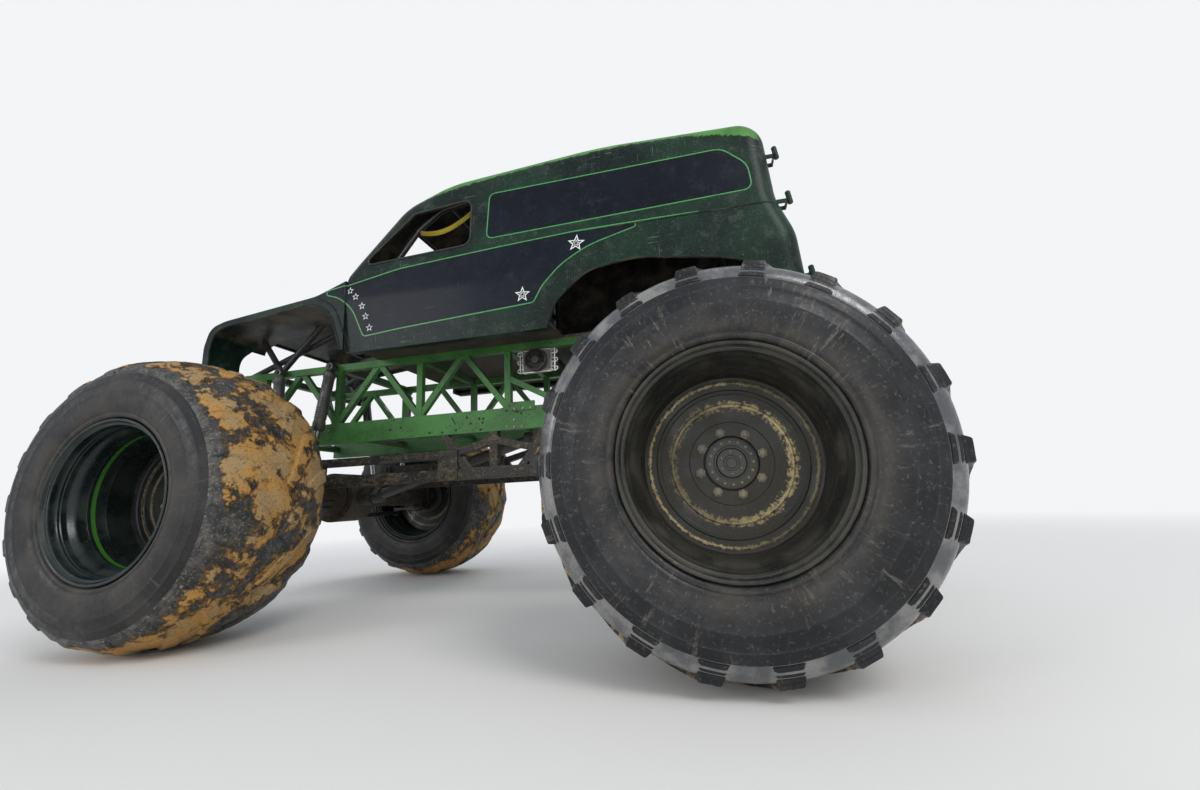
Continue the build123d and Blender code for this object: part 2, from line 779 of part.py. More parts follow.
door = rear_door()
save("rear_door_left", door)
save("rear_door_right", mirrored(door))

header = skin & block(-far, rear_split_x, -door_half_width, door_half_width, door_top + door_gap, gutter_z)
roof = skin & block(-far, far, -far, far, gutter_z, far + far)
save("roof_panel", only(roof + header))

frame_front = skin & block(0, far, -door_half_width, door_half_width, hood_rear_z, gutter_z)
save("windscreen_frame", only(frame_front - front_slab(outline(screen_opening), 0, far)))
bulkhead = skin & block(cowl_x - wall, far, -door_half_width, door_half_width, chord_top, hood_rear_z)
save("bulkhead", only(bulkhead))

floor = inner & block(floor_step_x, cowl_x - wall, -far, far, chord_top, chord_top + floor_thickness)
floor += block(chord_rear, floor_step_x, -rear_floor_half_width, rear_floor_half_width,
               chord_top, chord_top + floor_thickness)
save("floor", only(floor))

# Front clip: one curved sheet over both wheels with a raised hood between
fender_line = [
    (cowl_x + clip_gap, 2400, 0), (1240, 2312, 500), (2070, 2222, 400), (2205, 2180, 120),
    (nose_x, 2030, 200), (nose_x, clip_low_z, 0), (cowl_x + clip_gap, clip_low_z, 0),
]
nose_opening = [
    (-600, 1500, 0), (-600, 2000, 200), (-400, 2225, 60), (400, 2225, 60), (600, 2000, 200), (600, 1500, 0),
]
hood_side = [
    (cowl_x + clip_gap, hood_rear_z), (nose_x, hood_front_z), (nose_x, 2100), (2205, 2150), (2070, 2208),
    (1240, 2300), (cowl_x + clip_gap, 2385),
]
front_arch = [
    (nose_x - fender_lip, 1500, 0), (nose_x - fender_lip, 2010, 200), (2160, 2140, 90), (2060, 2178, 300),
    (1300, 2262, 240), (1120, 2190, 200), (1040, 1980, 300), (985, 1800, 0), (985, 1500, 0),
]


def front_clip():
    outer_face = outline(fender_line)
    sheet = side_slab(outer_face, -fender_half_width, fender_half_width)
    inner_half = fender_half_width - fender_sheet
    hollow = side_slab(offset(outer_face, -fender_sheet), -inner_half, inner_half)
    clip = sheet - hollow
    clip -= block(0, nose_x - fender_sheet, -inner_half, inner_half, 0, clip_low_z + 2 * fender_sheet)
    clip -= block(0, cowl_x + 2 * fender_sheet, -inner_half, inner_half, 0, clip_rear_z)
    clip -= block(0, far, -far, far, 0, sill_z + clip_lift)
    seam = hood_half_width - fender_sheet / 2
    clip -= block(0, far, -seam, seam, 0, far)
    for side in (-1, 1):
        low, high = sorted((side * (inner_half - fender_sheet), side * far))
        clip -= side_slab(outline(front_arch), low, high)
    hood_face = make_face(Polyline(*hood_side, close=True))
    hood_inner = hood_half_width - fender_sheet
    lip_x = nose_x - fender_sheet
    under_hood = [(cowl_x - wall, hood_rear_z - fender_sheet), (lip_x, hood_front_z - fender_sheet),
                  (lip_x, hood_front_z - hood_lip), (far, hood_front_z - hood_lip), (far, 0), (cowl_x - wall, 0)]
    hood = side_slab(hood_face, -hood_half_width, hood_half_width)
    hood -= side_slab(make_face(Polyline(*under_hood, close=True)), -hood_inner, hood_inner)
    clip += hood
    return clip - front_slab(outline(nose_opening), nose_x - 2 * fender_sheet, far)


save("front_clip", only(front_clip()))


# Cage inside the shell, braces ahead of it
floor_top = chord_top + floor_thickness
cage_side = [
    # x, y, z along one side, from the front foot to the rear foot
    (905, 690, chord_top), (850, 690, 2440), (520, 690, 2850), (330, 690, 2985), (-160, 680, 3060),
    (-1750, 620, 3040), (-1900, 580, 2500), (-1900, 420, chord_top),
]
main_hoop_x = -160.0
cage_crosses = [
    # x, drop below the side tube
    (240, 0), (main_hoop_x, 0), (main_hoop_x, 560), (-950, 0), (-1650, 0),
]


def cage_place(x):
    """The point of the left side's upper run at one x."""
    for (x0, y0, z0), (x1, y1, z1) in zip(cage_side[2:-3], cage_side[3:-2]):
        if x1 <= x <= x0:
            share = (x - x0) / (x1 - x0)
            return x, y0 + share * (y1 - y0), z0 + share * (z1 - z0)


def cage():
    """Two bent side tubes, the main hoop's legs and the cross tubes."""
    path = FilletPolyline(*cage_side, radius=cage_bend)
    left = sweep(Plane(path @ 0, z_dir=path % 0) * Circle(cage_radius), path=path)
    pieces = [left, mirrored(left)]
    for cross_x, drop in cage_crosses:
        x, y, z = cage_place(cross_x)
        half = y - cage_joint_depth
        pieces.append(rod((x, -half, z - drop), (x, half, z - drop), cage_cross_radius))
    x, y, z = cage_place(main_hoop_x)
    for y in (-y, y):
        pieces.append(rod((x, y, chord_top), (x, y, z - cage_joint_depth), cage_cross_radius))
    return only(pieces[0].fuse(*pieces[1:]) - block(-far, far, -far, far, 0, floor_top))


save("roll_cage", cage())


def front_braces():
    """A V of tubes up to the fenders and a long tube back to the bulkhead, for one side."""
    foot = (brace_foot_x, side_centre, chord_top)
    vee = rod(foot, (brace_front_x, side_centre + brace_spread, hood_front_z), brace_radius)
    vee += rod(foot, (brace_rear_x, side_centre + brace_spread, hood_front_z + brace_spread), brace_radius)
    under = side_slab(offset(outline(fender_line), -fender_sheet - clip_gap), 0, far)
    tall = rod((chord_front - chord_size, side_centre, chord_top - brace_radius),
               (cowl_x - wall, side_centre - brace_taper, brace_top), brace_radius)
    above = block(cowl_x, far, 0, far, chord_top, far)
    return [only(vee & under & above), only(tall & above)]


braces = front_braces()
save("front_braces", *braces, *[mirrored(piece) for piece in braces])

# Seats, wheel and dash
seat_side = [
    (480, 1975, 20), (490, 2090, 40), (150, 2050, 80), (30, 2740, 40), (-60, 2730, 40), (50, 1975, 60),
]
bolster_side = [
    (470, 2050, 20), (470, 2140, 40), (190, 2130, 90), (80, 2560, 40), (20, 2560, 30), (60, 2050, 30),
]


def seat():
    body = side_slab(outline(seat_side), seat_y - seat_width / 2, seat_y + seat_width / 2)
    for side in (-1, 1):
        middle = seat_y + side * (seat_width - bolster_width) / 2
        body += side_slab(outline(bolster_side), middle - bolster_width / 2, middle + bolster_width / 2)
    body += block(seat_base_rear, seat_base_front, seat_y - seat_base_half_width,
                  seat_y + seat_base_half_width, floor_top, seat_base_top)
    return only(body)


left = seat()
save("seats", left, mirrored(left))
save("dash", block(dash_x, cowl_x - wall, -dash_half_width, dash_half_width, dash_bottom, dash_top))


def steering_wheel():
    centre = (dash_x - column_length, seat_y, (dash_bottom + dash_top) / 2)
    body = Torus(steering_wheel_radius, steering_rim_radius)
    body += Cylinder(steering_hub_radius, 2 * steering_rim_radius)
    for turn in (0, 120, 240):
        body += Rot(0, 0, turn) * bar((0, 0, 0), (steering_wheel_radius, 0, 0), spoke_width, spoke_thickness)
    body = Pos(*centre) * Rot(0, -steering_lean, 0) * body
    body += rod(centre, (dash_x - rest_gap, seat_y, centre[2]), column_radius)
    return only(body)


save("steering_wheel", steering_wheel())


# Oil cooler with its round fan, hung in the open bay of the left lattice
def oil_cooler():
    top = cooler_z + cooler_height / 2
    core = block(cooler_x - cooler_half_length, cooler_x + cooler_half_length,
                 side_centre - cooler_thickness / 2, side_centre + cooler_thickness / 2, top - cooler_height, top)
    for end in (-1, 1):
        x = cooler_x + end * (cooler_half_length + cooler_rod_gap)
        core += rod((x, side_centre, top - cooler_height), (x, side_centre, chord_bottom), cooler_rod_radius)
        for row in (-1, 0, 1):
            z = cooler_z + row * cooler_loop_pitch
            core += bar((cooler_x, side_centre, z), (x + end * cooler_loop_overhang, side_centre, z),
                        cooler_loop_height, cooler_loop_width)
    return only(core)


save("oil_cooler", oil_cooler())
fan_y = side_centre + cooler_thickness / 2 + rest_gap
save("cooler_fan", rod((cooler_x, fan_y, cooler_z), (cooler_x, fan_y + fan_depth, cooler_z), fan_radius))
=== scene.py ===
from math import cos, exp, hypot, pi, radians, sin, tan

import bpy
import bmesh
from mathutils import Euler, Matrix, Vector, geometry, noise
from mathutils.bvhtree import BVHTree


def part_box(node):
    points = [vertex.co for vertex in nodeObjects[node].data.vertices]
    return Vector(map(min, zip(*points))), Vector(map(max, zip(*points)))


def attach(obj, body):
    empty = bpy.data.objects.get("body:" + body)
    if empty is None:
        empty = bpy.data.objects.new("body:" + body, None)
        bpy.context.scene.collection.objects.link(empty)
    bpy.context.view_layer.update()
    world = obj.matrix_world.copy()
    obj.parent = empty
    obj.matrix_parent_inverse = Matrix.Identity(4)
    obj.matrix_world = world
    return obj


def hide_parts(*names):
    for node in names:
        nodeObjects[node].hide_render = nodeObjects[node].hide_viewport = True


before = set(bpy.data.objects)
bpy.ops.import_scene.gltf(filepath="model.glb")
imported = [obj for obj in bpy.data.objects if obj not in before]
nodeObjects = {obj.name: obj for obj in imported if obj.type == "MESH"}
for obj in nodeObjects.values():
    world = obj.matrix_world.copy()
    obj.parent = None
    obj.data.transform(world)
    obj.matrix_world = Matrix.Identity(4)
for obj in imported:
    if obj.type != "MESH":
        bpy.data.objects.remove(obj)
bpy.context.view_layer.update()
print("frame loaded:", len(nodeObjects), "nodes")
tau = 2 * pi
bothSides = (("left", 1), ("right", -1))
bothEnds = (("front", 1), ("rear", -1))
shifted = Matrix.Translation  # a move, in metres


def turned(degrees, axis):
    return Matrix.Rotation(radians(degrees), 4, axis)


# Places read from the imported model
def nodeBox(name):  # low corner, high corner, middle and size
    low, high = (Vector(corner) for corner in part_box(name))
    return low, high, (low + high) / 2, high - low


wheels = []  # end, corner, body, wheel centre, which way is outwards along y
for endName, _ in bothEnds:
    for sideName, outward in bothSides:
        corner = endName + "_" + sideName
        wheels.append((endName, corner, corner + "_wheel", nodeBox(corner + "_tyre")[2], outward))
axleX, axleZ = abs(wheels[0][3].x), wheels[0][3].z


# Shapes: each helper gives (points, faces), and a Build gathers them into one mesh
class Build:
    def __init__(self):
        self.points = []
        self.faces = []
        self.slots = []

    def add(self, shape, slot=0, place=None):
        points, faces = shape
        base = len(self.points)
        self.points += [place @ Vector(p) for p in points] if place else [Vector(p) for p in points]
        flip = place is not None and place.determinant() < 0
        for face in faces:
            ids = tuple(base + i for i in face)
            self.faces.append(ids[::-1] if flip else ids)
            self.slots.append(slot)
        return self

    def box(self, size, bevel, steps, at, slot=0):
        return self.add(bevelBox(size, bevel, steps), slot, shifted(at))

    def bolt(self, radius, height, at, direction, spin=0.0, slot=0, sides=6, washer=1.35):
        return self.add(boltHead(radius, height, sides, washer), slot, aimed(at, direction, spin))

    def spun(self, profile, at, direction, segments=28, slot=0):  # rows of distance and radius
        return self.add(along(profile, at, Vector(at) + Vector(direction), segments), slot)

    def mirrored(self):  # a copy on the other side, kept in the same mesh
        return self.add((list(self.points), list(self.faces)), 0, Matrix.Scale(-1, 4, (0, 1, 0)))

    def make(self, name, finishes, slotName, crease=38, replaces=(), body="frame", origin=None):
        origin = Vector(origin or (0, 0, 0))
        mesh = bpy.data.meshes.new(name)
        mesh.from_pydata([tuple(p - origin) for p in self.points], [], self.faces)
        for finish in finishes:
            mesh.materials.append(finish)
        mesh.polygons.foreach_set("material_index", self.slots)
        mesh.validate()
        mesh.shade_smooth()
        mesh.set_sharp_from_angle(angle=radians(crease))
        piece = bpy.data.objects.new(name, mesh)
        piece.location = origin
        bpy.context.scene.collection.objects.link(piece)
        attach(piece, body)
        if replaces:
            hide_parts(*replaces)
        return piece


def circle(count, radius=1.0, shift=0.0):  # for each point round a circle: its angle and its two parts
    angles = [tau * (k + shift) / count for k in range(count)]
    return [(angle, radius * cos(angle), radius * sin(angle)) for angle in angles]


def ringFaces(rows, wide, closed=False, outwards=True):  # faces between neighbouring rings of points
    faces = []
    for row in range(rows if closed else rows - 1):
        a, b = row * wide, ((row + 1) % rows) * wide
        for k in range(wide):
            c = (k + 1) % wide
            faces.append((a + k, a + c, b + c, b + k) if outwards else (a + k, b + k, b + c, a + c))
    return faces


def beside(path, i, closed=False):  # the points before and after one point of a path
    before = path[i - 1] if i or closed else path[i]
    after = path[(i + 1) % len(path)] if i < len(path) - 1 or closed else path[i]
    return before, after


def lathe(profile, segments, closed=False):  # profile rows are (y, radius) about the y axis
    points = [(a, y, b) for y, radius in profile for _, a, b in circle(segments, radius)]
    return points, ringFaces(len(profile), segments, closed, False)


def disc(y, radius, segments):
    points = [(0, y, 0)] + [(a, y, b) for _, a, b in circle(segments, radius)]
    return points, [(0, 1 + t, 1 + (t + 1) % segments) for t in range(segments)]


def tube(path, radius, sides=10, closed=False, flat=1.0):  # radius may be one number or one per point
    path = [Vector(p) for p in path]
    count = len(path)
    radii = radius if isinstance(radius, (list, tuple)) else [radius] * count
    points = []
    up = None
    for i, here in enumerate(path):
        before, after = beside(path, i, closed)
        forwards = (after - before).normalized()
        if up is None:
            up = forwards.orthogonal().normalized()
        up = (up - forwards * up.dot(forwards)).normalized()
        side = forwards.cross(up)
        points += [here + (up * a + side * b * flat) * radii[i] for _, a, b in circle(sides)]
    faces = ringFaces(count, sides, closed)
    if not closed:
        faces += [tuple(range(sides))[::-1], tuple(range((count - 1) * sides, count * sides))]
    return points, faces


def bevelBox(size, bevel=0.003, segments=2):
    tool = bmesh.new()
    bmesh.ops.create_cube(tool, size=1.0, matrix=Matrix.Diagonal((*size, 1)))
    bmesh.ops.bevel(tool, geom=list(tool.edges), offset=min(bevel, min(size) * 0.45), segments=segments,
                    affect="EDGES", profile=0.6)
    tool.verts.ensure_lookup_table()
    tool.verts.index_update()
    shape = ([v.co.copy() for v in tool.verts], [tuple(v.index for v in f.verts) for f in tool.faces])
    tool.free()
    return shape


def boltHead(radius, height, sides=6, washer=1.35):  # stands on z = 0; drawn along z
    rows = [(radius * washer, 0), (radius * washer, height * 0.18), (radius, height * 0.2),
            (radius, height * 0.85), (radius * 0.86, height), (radius * 0.3, height)]
    if washer <= 1:
        rows = [(radius, 0), (radius, height * 0.8), (radius * 0.85, height), (radius * 0.3, height)]
    points = [(a, b, z) for r, z in rows for _, a, b in circle(sides, r, 0.5)]
    return points, ringFaces(len(rows), sides) + [tuple(range((len(rows) - 1) * sides, len(rows) * sides))]


def aimed(at, direction, spin=0.0):  # a matrix that puts z along a direction
    return shifted(at) @ Vector(direction).to_track_quat("Z", "Y").to_matrix().to_4x4() @ Matrix.Rotation(
        spin, 4, "Z")


def along(profile, start, end, segments=28):  # a profile of (distance, radius), start towards end
    start, end = Vector(start), Vector(end)
    matrix = aimed(start, end - start)
    points, faces = lathe(profile, segments)
    return [matrix @ Vector((p[0], p[2], p[1])) for p in points], [f[::-1] for f in faces]


def smoothPath(points, steps=6):
    path = [Vector(p) for p in points]
    result = []
    for i in range(len(path) - 1):
        p0, p1, p2, p3 = path[max(0, i - 1)], path[i], path[i + 1], path[min(len(path) - 1, i + 2)]
        for k in range(steps):
            t = k / steps
            result.append(0.5 * ((2 * p1) + (p2 - p0) * t + (2 * p0 - 5 * p1 + 4 * p2 - p3) * t * t
                                 + (3 * p1 - p0 - 3 * p2 + p3) * t ** 3))
    return result + [path[-1]]


def filletLoop(rows, closed=True, steps=6):  # rows are (first, second, corner radius)
    count = len(rows)
    result = []
    for i, (a, b, radius) in enumerate(rows):
        here = Vector((a, b))
        if not radius or (not closed and i in (0, count - 1)):
            result.append(here)
            continue
        before, after = Vector(rows[i - 1][:2]), Vector(rows[(i + 1) % count][:2])
        inward, outgoing = (before - here), (after - here)
        half = inward.angle(outgoing) / 2
        reach = min(radius / tan(half), inward.length * 0.49, outgoing.length * 0.49)
        real = reach * tan(half)
        start, end = here + inward.normalized() * reach, here + outgoing.normalized() * reach
        centre = here + (inward.normalized() + outgoing.normalized()).normalized() * (real / sin(half))
        for k in range(steps + 1):
            share = k / steps
            point = start.lerp(end, share) - centre
            result.append(centre + point.normalized() * real)
    return result


def evenly(points, step, closed=True):  # the same line with points a fixed distance apart
    line = list(points) + ([points[0]] if closed else [])
    total = sum((b - a).length for a, b in zip(line, line[1:]))
    count = max(3, round(total / step))
    marks = [total * k / count for k in range(count if closed else count + 1)]
    result, run, i = [], 0.0, 0
    for mark in marks:
        while i < len(line) - 2 and run + (line[i + 1] - line[i]).length < mark - 1e-9:
            run += (line[i + 1] - line[i]).length
            i += 1
        length = (line[i + 1] - line[i]).length
        result.append(line[i].lerp(line[i + 1], 0 if length < 1e-9 else min(1, (mark - run) / length)))
    return result


def roundedLoop(a, b, radius, step):  # a rectangle of these half sizes with round corners
    return evenly(filletLoop([(a, b, radius), (-a, b, radius), (-a, -b, radius), (a, -b, radius)]), step)


# Finishes: a small writer for procedural materials
class Finish:
    def __init__(self, name, colour=(0.1, 0.1, 0.1), roughness=0.5, metallic=0.0, **sockets):
        self.material = bpy.data.materials.new(name)
        self.material.use_nodes = True
        self.tree = self.material.node_tree
        self.shader = self.tree.nodes["Principled BSDF"]
        self.shader.inputs["Base Color"].default_value = (*colour, 1)
        self.shader.inputs["Roughness"].default_value = roughness
        self.shader.inputs["Metallic"].default_value = metallic
        for socket, value in sockets.items():
            self.shader.inputs[socket.replace("_", " ")].default_value = value
        self.source = self.tree.nodes.new("ShaderNodeTexCoord")
        self.last = None
        self.material.diffuse_color = (*colour, 1)

    def put(self, kind, *values, **settings):
        node = self.tree.nodes.new("ShaderNode" + kind)
        for key, value in settings.items():
            setattr(node, key, value)
        for socket, value in enumerate(values):
            if value is None:
                continue
            if isinstance(value, bpy.types.NodeSocket):
                self.tree.links.new(value, node.inputs[socket])
            else:
                node.inputs[socket].default_value = value
        return node

    def place(self, stretch=(1, 1, 1), turn=(0, 0, 0), shift=(0, 0, 0)):
        return self.put("Mapping", self.source.outputs["Object"], shift, turn, stretch).outputs[0]

    def axis(self, letter):
        return self.put("SeparateXYZ", self.source.outputs["Object"]).outputs["XYZ".index(letter)]

    def facing(self, letter):  # the surface's own direction, along one axis
        return self.put("SeparateXYZ", self.source.outputs["Normal"]).outputs["XYZ".index(letter)]

    def noise(self, scale, detail=5.0, rough=0.6, where=None, twist=0.0):
        node = self.put("TexNoise")
        self.tree.links.new(where or self.source.outputs["Object"], node.inputs["Vector"])
        for socket, value in (("Scale", scale), ("Detail", detail), ("Roughness", rough),
                              ("Distortion", twist)):
            node.inputs[socket].default_value = value
        return node.outputs["Fac"]

    def cells(self, scale, feature="F1", where=None):
        node = self.put("TexVoronoi", feature=feature)
        self.tree.links.new(where or self.source.outputs["Object"], node.inputs["Vector"])
        node.inputs["Scale"].default_value = scale
        return node.outputs["Distance"]

    def band(self, value, low, high, start=0.0, end=1.0):  # a soft step from one number to another
        node = self.put("MapRange", interpolation_type="SMOOTHSTEP")
        for socket, part in zip(range(5), (value, low, high, start, end)):
            if isinstance(part, bpy.types.NodeSocket):
                self.tree.links.new(part, node.inputs[socket])
            else:
                node.inputs[socket].default_value = part
        return node.outputs[0]

    def maths(self, operation, *values):
        return self.put("Math", *values, operation=operation).outputs[0]

    def blend(self, amount, first, second, mode="MIX"):
        node = self.tree.nodes.new("ShaderNodeMix")
        node.data_type = "RGBA"
        node.blend_type = mode
        for socket, value in ((0, amount), (6, first), (7, second)):
            if isinstance(value, bpy.types.NodeSocket):
                self.tree.links.new(value, node.inputs[socket])
            elif socket:
                node.inputs[socket].default_value = (*value, 1)
            else:
                node.inputs[socket].default_value = value
        return node.outputs[2]

    def spots(self, scale, detail, rough, *limits):  # noise cut to soft patches
        return self.band(self.noise(scale, detail, rough), *limits)

    def times(self, *values):
        return self.maths("MULTIPLY", *values)

    def plus(self, *values):
        return self.maths("ADD", *values)

    def minus(self, *values):
        return self.maths("SUBTRACT", *values)

    def colour(self, socket):
        self.tree.links.new(socket, self.shader.inputs["Base Color"])
        return self

    def rough(self, socket):
        self.tree.links.new(socket, self.shader.inputs["Roughness"])
        return self

    def metal(self, socket):
        self.tree.links.new(socket, self.shader.inputs["Metallic"])
        return self

    def bump(self, height, distance=0.002, strength=0.6):
        node = self.put("Bump")
        node.inputs["Strength"].default_value = strength
        node.inputs["Distance"].default_value = distance
        self.tree.links.new(height, node.inputs["Height"])
        if self.last:
            self.tree.links.new(self.last, node.inputs["Normal"])
        self.last = node.outputs[0]
        self.tree.links.new(self.last, self.shader.inputs["Normal"])
        return self


# Rubber, mud and wheel paint
mudTan = (0.34, 0.235, 0.115)
mudOchre = (0.42, 0.225, 0.06)
dustPale = (0.20, 0.175, 0.135)


def fromAxis(f, first="X", second="Z"):  # distance from the wheel's own axis, or from another
    a, b = f.axis(first), f.axis(second)
    return f.maths("SQRT", f.plus(f.times(a, a), f.times(b, b)))


def roundWheel(f, around, outwards):  # coordinates that run round the tyre and out from its axis
    angle = f.maths("ARCTAN2", f.axis("X"), f.axis("Z"))
    return f.put("CombineXYZ", f.times(angle, around), f.axis("Y"), f.times(fromAxis(f), outwards)).outputs[0]


def mottled(name, first, second, roughness, grain, low, high):  # two tones in soft patches
    f = Finish(name, first, roughness)
    f.colour(f.blend(f.band(f.noise(*grain), low, high), first, second))
    return f.material


def rubber(name, dark, worn, dust, roughness, grit=0.5):
    f = Finish(name, dark, roughness, 0.0, Specular_IOR_Level=0.27)
    broad = f.noise(4.5, 6, 0.62)
    fine = f.noise(70, 4, 0.7)
    tone = f.blend(f.band(broad, 0.42, 0.66), dark, worn)
    tone = f.blend(f.times(f.band(fine, 0.56, 0.70), dust), tone, dustPale)
    scuffs = f.noise(22, 8, 0.75, f.place((1, 2.2, 1)))
    tone = f.blend(f.times(f.band(scuffs, 0.60, 0.68), dust * 0.8), tone, dustPale)
    streaks = f.noise(1.0, 7, 0.72, roundWheel(f, 26, 9))
    gate = f.spots(3.1, 5, 0.6, 0.44, 0.62)
    streakMask = f.times(f.times(f.band(streaks, 0.56, 0.63), gate), min(1, dust * 1.9))
    tone = f.blend(streakMask, tone, (0.15, 0.135, 0.11))
    bead = f.times(f.band(fromAxis(f), 0.60, 0.47), f.spots(8, 6, 0.7, 0.36, 0.62))
    tone = f.blend(f.times(bead, 0.55), tone, (0.055, 0.046, 0.034))
    f.colour(tone)
    f.rough(f.band(scuffs, 0.35, 0.7, roughness - 0.08, roughness + 0.2))
    f.bump(fine, 0.0015 * grit, 0.5)
    f.bump(broad, 0.004, 0.25)
    return f


sidewallRear = rubber("sidewallRear", (0.0105, 0.0115, 0.0135), (0.022, 0.023, 0.026), 0.30, 0.36).material


def lugFinish():  # stepped bar ends, with painted shade at the foot of each step and mud on the tips
    f = rubber("lugRubber", (0.011, 0.012, 0.014), (0.026, 0.026, 0.027), 0.42, 0.36)
    cakeTone = f.blend(f.spots(30, 5, 0.6, 0.3, 0.5), mudOchre, mudTan)
    onTip = f.times(f.band(fromAxis(f), 0.785, 0.815), f.spots(9, 8, 0.7, 0.49, 0.54))
    clean = f.shader.inputs["Base Color"].links[0].from_socket
    # near-black lines at the foot of each step: painted shade in the grooves between the steps
    stepPlace = f.maths("PINGPONG", f.minus(fromAxis(f), 0.7255), 0.01075)
    steps = f.times(f.band(stepPlace, 0.0042, 0.0018), f.band(f.maths("ABSOLUTE", f.axis("Y")), 0.350, 0.356))
    clean = f.blend(f.times(steps, 0.9), clean, (0.002, 0.002, 0.002))
    f.colour(f.blend(onTip, clean, cakeTone))
    f.bump(f.minus(1.0, steps), 0.004, 0.8)
    f.bump(onTip, 0.006, 0.8)
    return f.material


def channelFinish():  # the rubber between the bars: a real glossy coat, with pale patches that are painted sheen
    f = Finish("tyreChannel", (0.045, 0.047, 0.05), 0.26, 0.0, Specular_IOR_Level=0.75, Coat_Weight=0.3,
               Coat_Roughness=0.25)
    smearAndSheen = f.noise(7, 6, 0.6)
    # the pale tone in these patches is painted sheen
    f.colour(f.blend(f.band(smearAndSheen, 0.42, 0.62), (0.05, 0.053, 0.058), (0.165, 0.162, 0.155)))
    f.rough(f.spots(30, 5, 0.7, 0.4, 0.65, 0.2, 0.48))
    f.bump(smearAndSheen, 0.006, 0.4)
    return f.material


lugRubber = lugFinish()
channel = channelFinish()
sidewallFront = rubber("sidewallFront", (0.0125, 0.0125, 0.0135), (0.030, 0.028, 0.026),
                       0.16, 0.42, 0.6).material


def caked(name, amountLow, amountHigh):  # rubber under dried mud that has cracked off in flakes
    f = Finish(name, (0.05, 0.05, 0.05), 0.8, 0.0, Specular_IOR_Level=0.35)
    large = f.noise(2.6, 9, 0.66, twist=0.3)
    small = f.noise(19, 7, 0.72)
    crumb = f.noise(75, 4, 0.65)
    whole = f.plus(f.times(large, 0.72), f.times(small, 0.28))
    # the shoulder is kept clean by a soft limit on the distance from the axis
    reach = f.plus(whole, f.band(fromAxis(f), 0.70, 0.775, -0.16, 0.0))
    mask = f.band(reach, amountLow, amountHigh)
    rubberTone = f.blend(f.band(small, 0.42, 0.62), (0.022, 0.023, 0.026), (0.085, 0.08, 0.072))
    rubberTone = f.blend(f.band(crumb, 0.57, 0.66), rubberTone, (0.19, 0.165, 0.12))
    mudTone = f.blend(f.spots(5, 6, 0.6, 0.42, 0.6), mudOchre, mudTan)
    mudTone = f.blend(f.band(crumb, 0.30, 0.5), (0.16, 0.095, 0.035), mudTone)
    mudTone = f.blend(f.times(f.spots(130, 3, 0.6, 0.6, 0.7), 0.6), mudTone, (0.10, 0.07, 0.04))
    f.colour(f.blend(mask, rubberTone, mudTone))
    f.rough(f.band(mask, 0, 1, 0.5, 0.92))
    f.bump(mask, 0.010, 0.9)
    f.bump(small, 0.006, 0.55)
    f.bump(crumb, 0.002, 0.5)
    return f.material


treadFront = caked("treadFront", 0.462, 0.512)

# Tyres: a lathe carcass with slanted bars swept over it
tyreShape = {
    "turns": 216,
    "lugs": 18,
    "phase": 11.5,  # degrees from the top to the first bar's outer end, rearwards
    # from the bead outwards and round to the crown: distance from the centre plane, radius
    "wall": [(0.379, 0.446), (0.390, 0.450), (0.397, 0.459), (0.3985, 0.470), (0.396, 0.476), (0.400, 0.482),
             (0.4055, 0.495), (0.4095, 0.525), (0.411, 0.567), (0.4095, 0.596), (0.4105, 0.600),
             (0.4088, 0.604), (0.405, 0.640), (0.4015, 0.655), (0.4025, 0.659), (0.399, 0.664),
             (0.392, 0.690), (0.386, 0.700)],
    "groove": [(0.386, 0.700), (0.3825, 0.704), (0.3795, 0.715), (0.374, 0.731), (0.364, 0.747),
               (0.349, 0.761), (0.330, 0.771), (0.300, 0.778), (0.25, 0.781), (0.18, 0.783), (0.10, 0.784),
               (0.0, 0.785)],
    "filled": [(0.386, 0.700), (0.377, 0.716), (0.352, 0.742), (0.31, 0.768), (0.25, 0.792), (0.18, 0.810),
               (0.10, 0.820), (0.0, 0.824)],
    # the bar's path: degrees rearwards, distance from the centre plane, top radius, half width of the top
    "bar": [(-0.3, 0.3845, 0.702, 0.050), (-0.3, 0.3815, 0.7235, 0.048), (-0.25, 0.3735, 0.7255, 0.0475),
            (-0.2, 0.3705, 0.7445, 0.046), (-0.15, 0.3625, 0.7465, 0.0455), (-0.1, 0.3595, 0.7665, 0.043),
            (0, 0.3515, 0.7685, 0.0445), (0, 0.3475, 0.7885, 0.041), (0.5, 0.325, 0.7960, 0.038),
            (1.2, 0.29, 0.802, 0.035), (2.4, 0.25, 0.812, 0.034), (4.3, 0.20, 0.823, 0.034),
            (7, 0.157, 0.830, 0.034), (11.2, 0.120, 0.8345, 0.034), (15.5, 0.086, 0.8365, 0.034),
            (20, 0.05, 0.8372, 0.033), (24, 0.012, 0.8372, 0.031), (26, -0.006, 0.833, 0.024)],
    "flare": 0.020,  # how much wider the bar's root is than its top, each side
    "sunk": 0.012,
}


def profileRadius(rows, y):
    y = abs(y)
    for (y0, r0), (y1, r1) in zip(rows, rows[1:]):
        if y1 <= y <= y0:
            return r1 + (r0 - r1) * (y - y1) / (y0 - y1)
    return rows[0][1] if y > rows[0][0] else rows[-1][1]


def onTyre(theta, y, radius):  # theta in radians from the top, rearwards
    return Vector((-radius * sin(theta), y, radius * cos(theta)))


